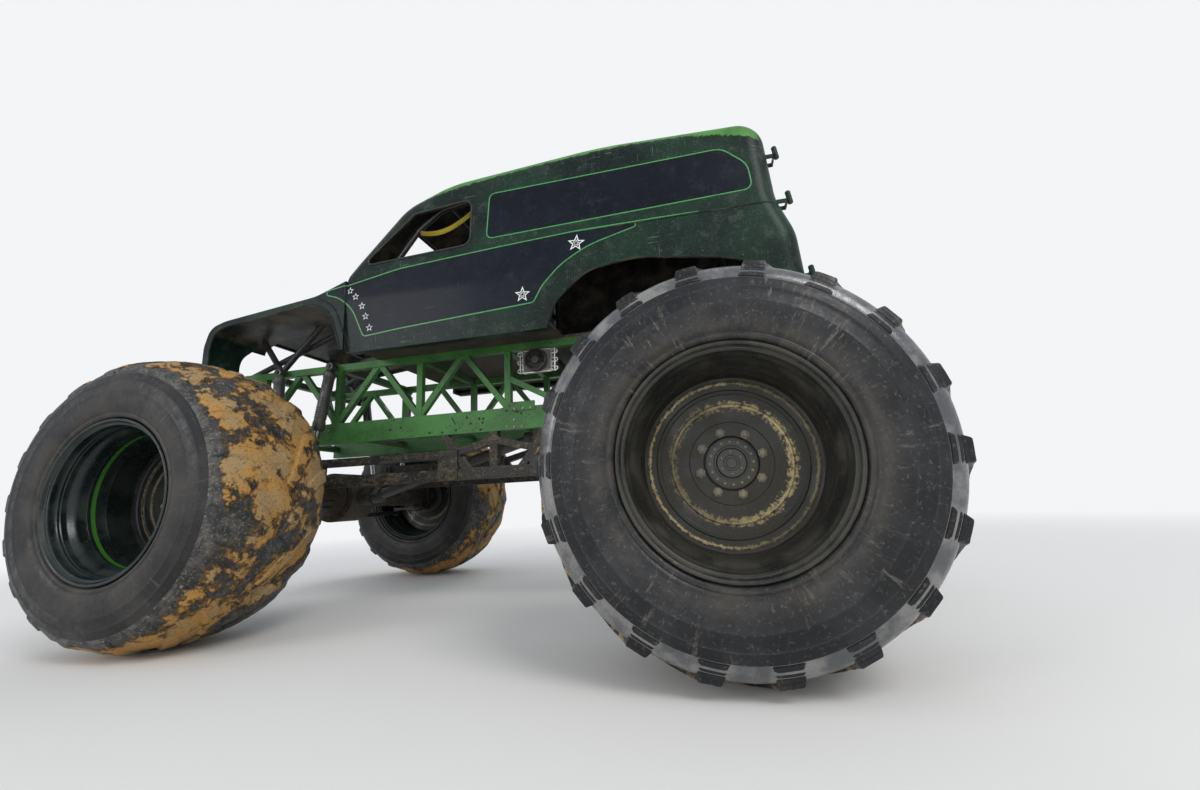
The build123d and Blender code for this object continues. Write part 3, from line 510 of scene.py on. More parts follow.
def barShape(theta0, side, base, filled, seed):
    rows = []
    for before, after in zip(tyreShape["bar"], tyreShape["bar"][1:]):
        pieces = 1 if before[1] > 0.345 else 3
        rows += [tuple(a + (b - a) * k / pieces for a, b in zip(before, after)) for k in range(pieces)]
    rows.append(tyreShape["bar"][-1])
    points, faces = [], []
    across = [(-1, "root"), (-1, "foot"), (-1, "edge"), (-0.86, "top"), (-0.45, "top"), (0, "top"),
              (0.45, "top"), (0.86, "top"), (1, "edge"), (1, "foot"), (1, "root")]
    for i, (degrees, y, top, half) in enumerate(rows):
        theta = theta0 + radians(degrees)
        d0, y0 = rows[max(0, i - 1)][:2]
        d1, y1 = rows[min(len(rows) - 1, i + 1)][:2]
        if y > 0.345:
            d0 = d1 = degrees
        along = Vector((radians(d1 - d0) * top, y1 - y0))
        along = along.normalized() if along.length > 1e-6 else Vector((0, -1))
        side2 = Vector((-along.y, along.x))
        if filled:
            top = profileRadius(base, y) + min(0.013, max(0.002, top - profileRadius(base, y)))
        for share, level in across:
            spread = tyreShape["flare"] * (0.35 if level == "foot" else 1)
            wide = half if level in ("top", "edge") else half + spread
            offset = side2 * wide * share
            place = (theta + offset.x / top, y + offset.y)
            ground = profileRadius(base, place[1]) - tyreShape["sunk"]
            if level == "top":
                spot = onTyre(place[0], place[1], top)
                rough = noise.noise(spot * 17 + Vector((seed, 0, 0))) * 0.5 + noise.noise(spot * 45)
                radius = top + min(0.0, 0.0025 * rough - 0.0012) * (1 if y < 0.34 else 0.3)
            elif level == "edge":
                radius = top - 0.0045
            elif level == "foot":
                radius = ground + (top - ground) * 0.42
            else:
                radius = ground
            points.append(onTyre(place[0], place[1] * side, max(radius, ground)))
    wide = len(across)
    for i in range(len(rows) - 1):
        for k in range(wide - 1):
            a, b = i * wide + k, (i + 1) * wide + k
            faces.append((a, a + 1, b + 1, b) if side < 0 else (a, b, b + 1, a + 1))
    for row in (0, len(rows) - 1):
        ring = tuple(range(row * wide, row * wide + wide))
        faces.append(ring if (row == 0) == (side > 0) else ring[::-1])
    return points, faces


def makeTyre(endName, corner, body, centre, outward):
    filled = endName == "front"
    base = tyreShape["filled" if filled else "groove"]
    turns = tyreShape["turns"]
    build = Build()
    place = shifted(centre) @ Matrix.Scale(outward, 4, (0, 1, 0))
    for side in (1, -1):
        wall = [(y * side, r) for y, r in tyreShape["wall"]]
        shape = lathe(wall, turns)
        if side < 0:
            shape = (shape[0], [f[::-1] for f in shape[1]])
        build.add(shape, 0, place)
    rows = []
    half = [(y, r) for y, r in base]
    fine = []
    for (y0, r0), (y1, r1) in zip(half, half[1:]):
        steps = max(1, round((y0 - y1) / (0.018 if filled else 0.03)))
        fine += [(y0 + (y1 - y0) * k / steps, r0 + (r1 - r0) * k / steps) for k in range(steps)]
    rows = fine + [half[-1]] + [(-y, r) for y, r in reversed(fine)]
    points, faces = lathe(rows, turns)
    if filled:  # dried mud lies unevenly over the tread
        for i, point in enumerate(points):
            y = abs(point[1])
            share = min(1.0, max(0.0, (0.386 - y) / 0.03))
            lump = noise.fractal(Vector(point) * 7.0 + centre, 1.0, 2.1, 4)
            crumbly = min(1, max(0, noise.noise(Vector(point) * 3.1) * 4))
            grow = share * (0.0085 * lump + 0.006 * crumbly - 0.003)
            radius = hypot(point[0], point[2])
            points[i] = (point[0] * (radius + grow) / radius, point[1], point[2] * (radius + grow) / radius)
    build.add((points, faces), 2, place)
    for k in range(tyreShape["lugs"]):
        for side, shift in ((1, 0.0), (-1, 0.5)):
            theta = radians(tyreShape["phase"] + (k + shift) * 360 / tyreShape["lugs"])
            build.add(barShape(theta, side, base, filled, k * 3.7 + side), 1, place)
    finishes = [sidewallFront, treadFront, treadFront] if filled else [sidewallRear, lugRubber, channel]
    name = corner + "_tyre_lugged"
    return build.make(name, finishes, "tyre_rubber", 40, [corner + "_tyre"], body, centre)


for wheel in wheels:
    makeTyre(*wheel)
print("tyres made")


# Rims: a deep welded barrel, a dished disc and a capped hub
def wheelPaint(name, dark, worn, rings=(), stripe=None, shine=0.4):
    f = Finish(name, dark, shine, 0.2, Coat_Weight=0.05, Coat_Roughness=0.35, Specular_IOR_Level=0.4)
    radius = fromAxis(f)
    broad = f.noise(6, 6, 0.6)
    fine = f.noise(90, 4, 0.7)
    tone = f.blend(f.band(broad, 0.4, 0.64), dark, worn)
    tone = f.blend(f.times(f.band(fine, 0.58, 0.7), 0.3), tone, dustPale)
    for middle, width, strength, sand, lean in rings:  # settled sand in rings, thicker on one side
        away = f.maths("ABSOLUTE", f.minus(radius, middle))
        frayed = f.plus(away, f.spots(48, 6, 0.75, 0.3, 0.7, -width * 0.55, width * 0.75))
        fuller = f.band(f.axis("X"), -0.2 * lean, 0.2 * lean, 0.35, 1.0)
        ring = f.times(f.band(frayed, width * 0.9, width * 0.1), fuller)
        tone = f.blend(f.times(ring, strength), tone, sand)
    if stripe:
        middle, width, green = stripe
        away = f.maths("ABSOLUTE", f.minus(f.maths("ABSOLUTE", f.axis("Y")), middle))
        tone = f.blend(f.band(away, width * 0.5 + 0.002, width * 0.5 - 0.002), tone, green)
    f.colour(tone)
    f.rough(f.band(broad, 0.35, 0.7, shine - 0.1, shine + 0.3))
    f.bump(fine, 0.0012, 0.4)
    f.bump(broad, 0.004, 0.2)
    return f.material


sandRing = (0.50, 0.40, 0.20)
rimFinishes = {
    "front": [wheelPaint("barrelFront", (0.008, 0.013, 0.014), (0.020, 0.029, 0.027),
                         stripe=(0.18, 0.022, (0.055, 0.22, 0.03)), shine=0.3),
              wheelPaint("discFront", (0.010, 0.012, 0.012), (0.026, 0.026, 0.023),
                         rings=[(0.245, 0.020, 0.6, sandRing, -1), (0.318, 0.013, 0.5, sandRing, 1)])],
    "rear": [wheelPaint("barrelRear", (0.019, 0.0195, 0.018), (0.042, 0.040, 0.032),
                        shine=0.36),
             wheelPaint("discRear", (0.021, 0.0215, 0.019), (0.046, 0.043, 0.034),
                        rings=[(0.252, 0.027, 0.85, sandRing, -1), (0.352, 0.010, 0.8, sandRing, 1)],
                        shine=0.5)],
}
hubPaint = wheelPaint("hubPaint", (0.030, 0.031, 0.029), (0.062, 0.060, 0.050), shine=0.42)
nutMetal = wheelPaint("nutMetal", (0.13, 0.12, 0.095), (0.24, 0.21, 0.14), shine=0.42)

rimShape = {
    "turns": 144,
    "lip": [(0.380, 0.4405), (0.386, 0.443), (0.392, 0.4425), (0.3955, 0.439), (0.396, 0.433),
            (0.393, 0.4275), (0.386, 0.424)],  # the rolled flange
    "barrel": [(0.378, 0.4185), (0.372, 0.4095), (0.366, 0.4075), (0.360, 0.4085), (0.340, 0.4055),
               (0.334, 0.4015), (0.326, 0.4015), (0.322, 0.4045), (0.317, 0.4015), (0.296, 0.4015),
               (0.288, 0.398), (0.276, 0.389), (0.262, 0.3815), (0.250, 0.3785), (0.215, 0.378),
               (0.210, 0.3755), (0.204, 0.378), (0.120, 0.378), (0.115, 0.3755), (0.109, 0.378)],
    "disc": [(0.020, 0.3775), (0.0105, 0.3745), (0.0075, 0.3665), (0.0085, 0.3585), (0.002, 0.3525),
             (0.0, 0.345), (0.0, 0.324), (0.004, 0.3185), (0.0045, 0.306), (0.0, 0.300), (0.0, 0.262),
             (0.0045, 0.256), (0.0045, 0.246), (0.0, 0.240), (0.0, 0.180), (0.0025, 0.176), (0.0025, 0.119),
             (0.0, 0.1165), (-0.02, 0.1165)],  # measured from the disc's face
    "nutCircle": 0.1375, "nutRadius": 0.0205, "nutHeight": 0.024, "firstNut": -15, "bareStud": 1,
}
discDepth = {"front": 0.420, "rear": 0.350}


def makeRim(endName, corner, body, centre, outward):
    build = Build()
    place = shifted(centre) @ Matrix.Scale(outward, 4, (0, 1, 0))
    face = 0.380 - discDepth[endName]
    outside = rimShape["lip"] + [(y, r) for y, r in rimShape["barrel"] if y > face + 0.03]
    dish = [(face + y, r) for y, r in rimShape["disc"]]
    back = [(face - 0.02, 0.1165), (face - 0.02, 0.36), (face - 0.03, 0.3775)]
    inner = [(-y, r) for y, r in reversed(rimShape["barrel"]) if -y < face - 0.04]
    turns = rimShape["turns"]
    build.add(lathe(outside + [(face + 0.021, 0.378)], turns), 0, place)
    build.add(lathe([(face + 0.021, 0.378)] + dish, turns), 1, place)
    build.add(lathe(back, turns), 1, place)
    lip = [(-y, r) for y, r in reversed(rimShape["lip"])]
    build.add(lathe([(face - 0.03, 0.3775)] + inner + lip, turns), 0, place)
    # the tyre's side of the barrel
    build.add(lathe([(-0.380, 0.4405), (-0.378, 0.416), (-0.27, 0.416), (-0.25, 0.392), (0.25, 0.392),
                     (0.27, 0.416), (0.378, 0.416), (0.380, 0.4405)], turns), 0, place)
    finishes = rimFinishes[endName]
    return build.make(corner + "_rim_welded", finishes, "rim_paint", 30, [corner + "_rim"], body, centre)


hubShape = {
    "turns": 96,
    # distance from the disc's face, radius: from the hidden flange to the centre of the cap
    "cap": [(-0.140, 0.0605), (-0.140, 0.110), (-0.048, 0.110), (-0.048, 0.170), (-0.0205, 0.170),
            (-0.0205, 0.1115), (0.008, 0.1118), (0.0125, 0.109), (0.014, 0.105), (0.014, 0.076),
            (0.011, 0.072), (0.011, 0.066), (0.019, 0.0625), (0.0215, 0.059), (0.0215, 0.034),
            (0.0185, 0.031), (0.0185, 0.024), (0.0215, 0.021), (0.0215, 0.0001)],
    "capBolts": 16, "capBoltCircle": 0.0915, "capBoltRadius": 0.0052,
    "bossBolts": 6, "bossBoltCircle": 0.046,
}


def makeHub(endName, corner, body, centre, outward):
    build = Build()
    place = shifted(centre) @ Matrix.Scale(outward, 4, (0, 1, 0))
    face = 0.380 - discDepth[endName]
    build.add(lathe([(face + y, r) for y, r in hubShape["cap"]], hubShape["turns"]), 0, place)
    toOutside = Matrix.Rotation(-pi / 2, 4, "X")  # z becomes +y

    def onCircle(circle, degrees, y, shape, slot):
        angle = radians(degrees)
        spot = shifted((-circle * sin(angle), y, circle * cos(angle)))
        build.add(shape, slot, place @ spot @ Matrix.Rotation(angle * 0.7, 4, "Y") @ toOutside)

    for k in range(hubShape["capBolts"]):
        onCircle(hubShape["capBoltCircle"], 360 / hubShape["capBolts"] * k, face + 0.0138,
                 boltHead(hubShape["capBoltRadius"], 0.0048, washer=1.2), 1)
    for k in range(hubShape["bossBolts"]):
        onCircle(hubShape["bossBoltCircle"], 60 * k, face + 0.0213, boltHead(0.0042, 0.004, washer=1.2), 1)
    for k in range(8):
        degrees = rimShape["firstNut"] + 45 * k
        stud = tube([(0, 0, -0.04), (0, 0, 0.0225), (0, 0, 0.0236)], [0.0105, 0.0105, 0.0085], 14)
        onCircle(rimShape["nutCircle"], degrees, face, stud, 1)
        if k == rimShape["bareStud"] and endName == "rear":
            onCircle(rimShape["nutCircle"], degrees, face + 0.002, boltHead(0.0145, 0.009, 12, 1.3), 1)
            continue
        onCircle(rimShape["nutCircle"], degrees, face + 0.002,
                 boltHead(rimShape["nutRadius"] * 0.8, rimShape["nutHeight"] * 0.78, 6, 1.3), 1)
    finishes = [hubPaint, nutMetal]
    return build.make(corner + "_hub_capped", finishes, "hub_metal", 30, [corner + "_hub"], body, centre)


for wheel in wheels:
    makeRim(*wheel)
    makeHub(*wheel)
print("rims and hubs made")


# Body paint: dark metallic green with a bright roof, dust specks and fine scratches
bodyColours = {
    "dark": (0.0040, 0.0095, 0.0090), "green": (0.0085, 0.027, 0.0165), "speck": (0.30, 0.36, 0.29),
    "roof": (0.075, 0.235, 0.048), "navy": (0.0034, 0.0048, 0.0098), "raw": (0.018, 0.019, 0.020),
    "line": (0.055, 0.25, 0.075), "star": (0.72, 0.74, 0.74), "film": (0.11, 0.135, 0.115),
}


def insideOf(f):  # 1 on the faces that look into the body
    y, across, up = f.axis("Y"), f.facing("Y"), f.facing("Z")
    sides = f.band(f.times(y, across), -0.05, -0.25)
    under = f.times(f.band(up, -0.25, -0.6), f.band(f.axis("Z"), 2.1, 2.15))
    return f.maths("MAXIMUM", sides, under)


def weathered(f, tone, amount=1.0, scale=1.0):  # specks, a dust film and scratches over a paint colour
    broad = f.noise(3.2 * scale, 6, 0.62)
    specks = f.times(f.band(f.cells(95 * scale), 0.17, 0.07), f.spots(7, 5, 0.6, 0.44, 0.62))
    tiny = f.spots(240, 2, 0.5, 0.66, 0.72)
    film = f.spots(11, 9, 0.78, 0.50, 0.72)
    tone = f.blend(f.times(film, 0.34 * amount), tone, bodyColours["film"])
    tone = f.blend(f.times(specks, 0.55 * amount), tone, bodyColours["speck"])
    tone = f.blend(f.times(tiny, 0.4 * amount), tone, bodyColours["speck"])
    scratches = None
    for turn, stretch in (((0, 0.5, 0), (2.2, 1, 60)), ((0, -0.9, 0), (60, 1, 2.5)),
                          ((0, 0.15, 0), (3, 1, 46))):
        line = f.band(f.noise(1.7, 3, 0.55, f.place(stretch, turn)), 0.675, 0.70)
        scratches = line if scratches is None else f.maths("MAXIMUM", scratches, line)
    gate = f.band(broad, 0.50, 0.62)
    tone = f.blend(f.times(f.times(scratches, gate), 0.30 * amount), tone, bodyColours["speck"])
    f.rough(f.band(film, 0, 1, 0.38, 0.62))
    f.bump(f.noise(320, 2, 0.5), 0.0006, 0.25)
    return tone


def bodyPaint(name, roof=False):
    f = Finish(name, bodyColours["dark"], 0.3, 0.0, Coat_Weight=0.02, Coat_Roughness=0.2,
               Specular_IOR_Level=0.16)
    tone = f.blend(f.spots(1.4, 4, 0.6, 0.4, 0.62), bodyColours["dark"], bodyColours["green"])
    if roof:  # the bright green starts at a line that falls towards both ends
        x = f.plus(f.axis("X"), 1.2)
        square = f.times(x, x)
        fall = f.band(x, -0.02, 0.02, 0.21, 0.052)
        line = f.minus(3.128, f.times(square, fall))
        edge = f.minus(f.axis("Z"), line)
        ragged = f.plus(edge, f.spots(26, 6, 0.7, 0.3, 0.7, -0.012, 0.012))
        mask = f.times(f.band(ragged, -0.006, 0.006), f.band(f.facing("X"), -0.75, -0.6))
        bright = f.blend(f.spots(6, 6, 0.65, 0.4, 0.66), bodyColours["roof"], (0.05, 0.155, 0.035))
        tone = f.blend(mask, tone, bright)
    tone = weathered(f, tone)
    dusty = f.blend(f.spots(5, 7, 0.65, 0.42, 0.66), bodyColours["raw"], (0.10, 0.082, 0.055))
    f.colour(f.blend(insideOf(f), tone, dusty))
    return f.material


shellPaint = bodyPaint("shellPaint", roof=True)
clipPaint = bodyPaint("clipPaint")
doorPaint = bodyPaint("doorPaint")


def navyFinish():
    f = Finish("navyPanel", bodyColours["navy"], 0.3, 0.0, Coat_Weight=0.04, Coat_Roughness=0.1,
               Specular_IOR_Level=0.13)
    tone = f.blend(f.spots(2, 4, 0.6, 0.4, 0.65), bodyColours["navy"], (0.0055, 0.008, 0.015))
    f.colour(weathered(f, tone, 0.28)).bump(f.noise(40, 3, 0.5), 0.0005, 0.2)
    return f.material


navy = navyFinish()
lineGreen = mottled("pinstripeGreen", bodyColours["line"], (0.03, 0.12, 0.05), 0.4, (60, 5, 0.7), 0.5, 0.66)
starWhite = mottled("starWhite", bodyColours["star"], (0.25, 0.27, 0.27), 0.42, (90, 4, 0.7), 0.55, 0.68)
rubberTrim = mottled("rubberTrim", (0.012, 0.012, 0.012), (0.06, 0.057, 0.05), 0.6, (50, 5, 0.7), 0.5, 0.7)


def paintNode(name, material):
    node = nodeObjects[name]
    node.data.materials.clear()
    node.data.materials.append(material)


for name in ("side_panel_left", "side_panel_right", "roof_panel", "windscreen_frame", "bulkhead"):
    paintNode(name, shellPaint)
for name in ("rear_door_left", "rear_door_right"):
    paintNode(name, doorPaint)
paintNode("front_clip", clipPaint)


# Flat work that lies on the skin: each point is dropped onto the body from the side
def skinTree(names):
    points, polygons = [], []
    for name in names:
        mesh = nodeObjects[name].data
        base = len(points)
        points += [v.co.copy() for v in mesh.vertices]
        polygons += [tuple(base + i for i in p.vertices) for p in mesh.polygons]
    return BVHTree.FromPolygons(points, polygons)


bodySkin = skinTree(["side_panel_left", "side_panel_right", "front_clip", "roof_panel"])


def onSide(x, z, side, lift):
    hit, normal, _, _ = bodySkin.ray_cast(Vector((x, side * 1.5, z)), Vector((0, -side, 0)), 1.5)
    if hit is None or abs(hit.y) < 0.7:
        return None
    if normal.y * side < 0:
        normal = -normal
    return hit + normal * lift


def inLoop(point, loop):
    inside = False
    for a, b in zip(loop, loop[1:] + loop[:1]):
        if (a.y > point.y) != (b.y > point.y) and point.x < (b.x - a.x) * (point.y - a.y) / (b.y - a.y) + a.x:
            inside = not inside
    return inside


def sidePatch(loop, side, lift=0.0012, cell=0.03):
    edge = evenly(loop, 0.02)
    xs, zs = [p.x for p in edge], [p.y for p in edge]
    inner = []
    for i in range(int((max(xs) - min(xs)) / cell) + 1):
        for k in range(int((max(zs) - min(zs)) / cell) + 1):
            spot = Vector((min(xs) + (i + 0.5) * cell, min(zs) + (k + 0.5) * cell))
            if inLoop(spot, edge) and min((spot - p).length for p in edge) > cell * 0.4:
                inner.append(spot)
    count = len(edge)
    spots, _, triangles, *_ = geometry.delaunay_2d_cdt(edge + inner, [], [tuple(range(count))], 1, 1e-6)
    points = [onSide(s.x, s.y, side, lift) for s in spots]
    keep = [f for f in triangles if all(points[i] is not None for i in f)]
    points = [p or Vector((0, 0, 0)) for p in points]
    faces = []
    for f in keep:
        a, b, c = (points[i] for i in f)
        up = (b - a).cross(c - a).y * side > 0
        faces.append(tuple(f) if up else tuple(f)[::-1])
    return points, faces


def sideLine(line, side, width, closed=True, lift=0.0026, step=0.016):
    path = evenly(line, step, closed)
    points, faces = [], []
    count = len(path)
    for i, here in enumerate(path):
        before, after = beside(path, i, closed)
        forwards = (after - before).normalized()
        across = Vector((-forwards.y, forwards.x)) * width / 2
        for spot, height in ((here + across, 0.0002), (here + across * 0.86, lift),
                             (here - across * 0.86, lift), (here - across, 0.0002)):
            points.append(onSide(spot.x, spot.y, side, height))
    for i in range(count if closed else count - 1):
        for k in range(3):
            a, b = i * 4 + k, ((i + 1) % count) * 4 + k
            face = (a, a + 1, b + 1, b)
            if any(points[j] is None for j in face):
                continue
            normal = (points[a + 1] - points[a]).cross(points[b] - points[a])
            faces.append(face if normal.y * side > 0 else face[::-1])
    return [p or Vector((0, 0, 0)) for p in points], faces


def loosen(shape):  # drops the points that no face uses
    used = sorted({i for face in shape[1] for i in face})
    place = {old: new for new, old in enumerate(used)}
    return [shape[0][i] for i in used], [tuple(place[i] for i in face) for face in shape[1]]


# Lines and fields on the sides, in metres: along the body, height, corner radius
sideWork = {
    "upperField": [(-0.152, 2.930, 0.045), (-1.800, 2.943, 0.13), (-1.952, 2.790, 0.16),
                   (-1.966, 2.600, 0.05), (-0.137, 2.561, 0.045)],
    "lowerField": [(1.215, 2.330, 0.02), (0.965, 2.366, 1.2), (0.547, 2.437, 1.2), (-0.241, 2.481, 2.0),
                   (-0.804, 2.505, 0), (-1.349, 2.502, 0.02), (-0.869, 2.383, 0.8), (-0.682, 2.274, 0.5),
                   (-0.543, 2.143, 0.25), (-0.477, 2.037, 0.03), (0.530, 1.983, 2.0), (0.840, 1.958, 0.03),
                   (0.928, 2.178, 0.5), (1.037, 2.272, 0.2)],
    "beltLine": [(-0.75, 2.503, 0), (-1.349, 2.502, 0.5), (-1.62, 2.497, 0)],
    "lineWidth": 0.0095,
    "largeStars": [(-0.795, 2.413, 0.063, 8), (-0.402, 2.102, 0.057, 4)],
    "smallStars": [(0.951, 2.320, 0.029, 0), (0.901, 2.266, 0.029, 0), (0.846, 2.187, 0.029, 0),
                   (0.817, 2.106, 0.029, 0), (0.787, 2.017, 0.029, 0)],
    "starThickness": 0.30, "innerStar": 0.42,
}


def starLoop(x, z, radius, degrees):
    points = []
    for k in range(10):
        r = radius if k % 2 == 0 else radius * sideWork["innerStar"]
        angle = radians(degrees + 90 + 36 * k)
        points.append(Vector((x + r * cos(angle), z + r * sin(angle))))
    return points


def starOutline(x, z, radius, degrees, side):
    outer = starLoop(x, z, radius, degrees)
    inner = starLoop(x, z, radius * (1 - sideWork["starThickness"]), degrees)
    points, faces = [], []
    for a, b in zip(outer, inner):
        points += [onSide(a.x, a.y, side, 0.0022), onSide(b.x, b.y, side, 0.0022),
                   onSide(b.x + (x - b.x) * 0.03, b.y + (z - b.y) * 0.03, side, 0.0006),
                   onSide(a.x + (a.x - x) * 0.03, a.y + (a.y - z) * 0.03, side, 0.0006)]
    for k in range(10):
        a, b = k * 4, ((k + 1) % 10) * 4
        for i, j in ((3, 0), (0, 1), (1, 2)):
            face = (a + i, a + j, b + j, b + i)
            normal = (points[face[1]] - points[face[0]]).cross(points[face[3]] - points[face[0]])
            faces.append(face if normal.y * side > 0 else face[::-1])
    return points, faces


for sideName, side in bothSides:
    fields, lines, stars = Build(), Build(), Build()
    upper, lower = filletLoop(sideWork["upperField"]), filletLoop(sideWork["lowerField"])
    for loop in (upper, lower):
        fields.add(loosen(sidePatch(loop, side)))
        lines.add(loosen(sideLine(loop, side, sideWork["lineWidth"])))
    lines.add(loosen(sideLine(filletLoop(sideWork["beltLine"], False), side, sideWork["lineWidth"], False)))
    for x, z, radius, degrees in sideWork["largeStars"] + sideWork["smallStars"]:
        stars.add(starOutline(x, z, radius, degrees, side))
    for x, z, radius, degrees in sideWork["largeStars"]:
        stars.add(starOutline(x, z, radius * 0.42, degrees, side))
    fields.make("side_fields_" + sideName, [navy], "body_black", 60)
    lines.make("side_pinstripes_" + sideName, [lineGreen], "roof_green", 60)
    stars.make("side_stars_" + sideName, [starWhite], "body_black", 30)
print("side fields, pinstripes and stars made")

# Rolled edges, window rubbers and the belt crease
edgeWork = {
    "rearArch": [(-0.566, 1.880, 0.06), (-0.640, 2.040, 0.2), (-0.860, 2.210, 0.3), (-1.200, 2.250, 0.7),
                 (-1.840, 2.145, 0.5), (-2.200, 1.8895, 0.04)],
    "frontArch": [(1.006, 1.868, 0), (1.040, 1.980, 0.3), (1.120, 2.190, 0.2), (1.300, 2.262, 0.24),
                  (2.060, 2.178, 0.3), (2.160, 2.140, 0.09), (2.195, 2.010, 0.2), (2.195, 1.870, 0)],
    "sideWindow": [(0.870, 2.505, 0.03), (0.450, 2.880, 0.06), (-0.012, 2.915, 0.06), (-0.012, 2.540, 0.06)],
    "lipRadius": 0.0085, "flareOffset": 0.055, "rubberRadius": 0.0075,
    "belt": [(-0.86, 2.4935, 0), (-1.4, 2.4925, 0), (-2.085, 2.489, 0)],
}


def nearEdge(x, z, side, lift, towards):  # on the skin, or just beside an opening's edge
    for share in (0.0, 0.25, 0.5, 0.8, 1.2):
        spot = Vector((x, z)) + towards * 0.012 * share
        found = onSide(spot.x, spot.y, side, lift)
        if found is not None:
            found.x, found.z = x, z
            return found
    return None


def edgeTube(rows, side, radius, closed, outwards, shift=0.0, flat=1.0):
    loop = evenly(filletLoop(rows, closed), 0.025, closed)
    path = []
    for i, here in enumerate(loop):
        before, after = beside(loop, i, closed)
        forwards = (after - before).normalized()
        towards = Vector((-forwards.y, forwards.x)) * outwards
        spot = here + towards * shift
        found = nearEdge(spot.x, spot.y, side, 0.0, towards)
        if found is not None:
            path.append(found)
    return tube(path, radius, 10, closed, flat)


for sideName, side in bothSides:
    lips, seals = Build(), Build()
    lip = edgeWork["lipRadius"]
    lips.add(edgeTube(edgeWork["rearArch"], side, lip, False, 1))
    lips.add(edgeTube(edgeWork["frontArch"], side, lip, False, 1))
    lips.add(edgeTube(edgeWork["frontArch"][:4], side, lip * 0.8, False, 1, edgeWork["flareOffset"]))
    lips.add(edgeTube(edgeWork["belt"], side, 0.006, False, 1))
    seals.add(edgeTube(edgeWork["sideWindow"], side, edgeWork["rubberRadius"], True, -1))
    lips.make("rolled_edges_" + sideName, [shellPaint], "body_black", 50)
    seals.make("window_rubber_" + sideName, [rubberTrim], "cage_black", 50)
print("rolled edges and window rubbers made")


# Chassis, axle and link finishes
def dirty(name, base, worn, speckAmount, dust, roughness, metallic=0.0, bumpy=0.5, **sockets):
    f = Finish(name, base, roughness, metallic, **sockets)
    tone = f.blend(f.spots(2.6, 6, 0.62, 0.42, 0.62), base, worn)
    specks = f.times(f.band(f.cells(42), 0.30, 0.18), f.spots(6, 6, 0.66, 0.45, 0.56))
    tone = f.blend(f.times(specks, speckAmount), tone, (0.012, 0.014, 0.011))
    crumbs = f.spots(85, 5, 0.68, 0.56, 0.66)
    settled = f.times(f.spots(9, 7, 0.7, 0.42, 0.62), f.band(f.facing("Z"), -0.4, 0.9, 0.35, 1))
    tone = f.blend(f.times(settled, dust * 0.55), tone, dustPale)
    tone = f.blend(f.times(crumbs, dust), tone, dustPale)
    f.colour(tone)
    f.rough(f.band(settled, 0, 1, roughness, min(1.0, roughness + 0.35)))
    f.bump(crumbs, 0.0012 * bumpy, 0.6)
    f.bump(f.noise(14, 6, 0.6), 0.002 * bumpy, 0.3)
    return f.material


def muddy(name, base, mud, cover, roughness=0.55):  # dark paint under dried splashes
    f = Finish(name, base, roughness, 0.0, Specular_IOR_Level=0.4)
    web = f.noise(24, 9, 0.82, f.place((1, 1, 1.8)), twist=0.8)
    coarse = f.noise(5, 6, 0.65)
    mask = f.band(f.plus(f.times(web, 0.7), f.times(coarse, 0.3)), cover, cover + 0.05)
    tone = f.blend(f.spots(60, 4, 0.6, 0.45, 0.6), base, tuple(c * 2.2 for c in base))
    f.colour(f.blend(mask, tone, f.blend(f.band(coarse, 0.4, 0.6), mud, tuple(c * 0.55 for c in mud))))
    f.rough(f.band(mask, 0, 1, roughness, 0.92))
    f.bump(mask, 0.003, 0.7)
    return f.material


chassisPaint = dirty("chassisPaint", (0.040, 0.175, 0.030), (0.026, 0.115, 0.024), 1.0, 0.32, 0.45,
                     Specular_IOR_Level=0.35)
chassisInner = dirty("crossMemberPaint", (0.03, 0.15, 0.038), (0.05, 0.075, 0.035), 0.8, 0.6, 0.55)
linkPaint = muddy("linkPaint", (0.0125, 0.0125, 0.013), (0.17, 0.135, 0.085), 0.505)
bellyPaint = muddy("bellyPaint", (0.013, 0.013, 0.0135), (0.17, 0.135, 0.085), 0.495)
axleSteel = muddy("axleCasting", (0.022, 0.021, 0.020), (0.12, 0.085, 0.045), 0.485, 0.5)
shaftSteel = dirty("shaftSteel", (0.10, 0.10, 0.10), (0.05, 0.045, 0.04), 0.5, 0.5, 0.42, 0.7)
rodSteel = dirty("tieRodSteel", (0.05, 0.05, 0.052), (0.03, 0.03, 0.03), 0.6, 0.6, 0.4, 0.6)
tubeBlack = dirty("cageTube", (0.012, 0.0125, 0.014), (0.02, 0.021, 0.023), 0.2, 0.22, 0.3,
                  Coat_Weight=0.3, Coat_Roughness=0.2)
braceBlack = dirty("frontBraceTube", (0.014, 0.017, 0.020), (0.022, 0.025, 0.028), 0.25, 0.42, 0.4)
underboard = dirty("floorBoard", (0.055, 0.043, 0.028), (0.025, 0.022, 0.018), 0.7, 0.55, 0.72)
boltZinc = dirty("boltZinc", (0.32, 0.31, 0.28), (0.16, 0.15, 0.13), 0.3, 0.5, 0.36, 0.85)
boltDark = dirty("boltDark", (0.05, 0.05, 0.05), (0.03, 0.028, 0.025), 0.3, 0.5, 0.5, 0.5)
# near-black: painted shade inside holes and behind the fan blades, and also small dark bolts on the steering
# hub
holeShadeAndDarkBolts = mottled("holeShadeAndDarkBolts", (0.006, 0.007, 0.006), (0.025, 0.022, 0.016), 0.8, (90, 4, 0.6), 0.5, 0.65)

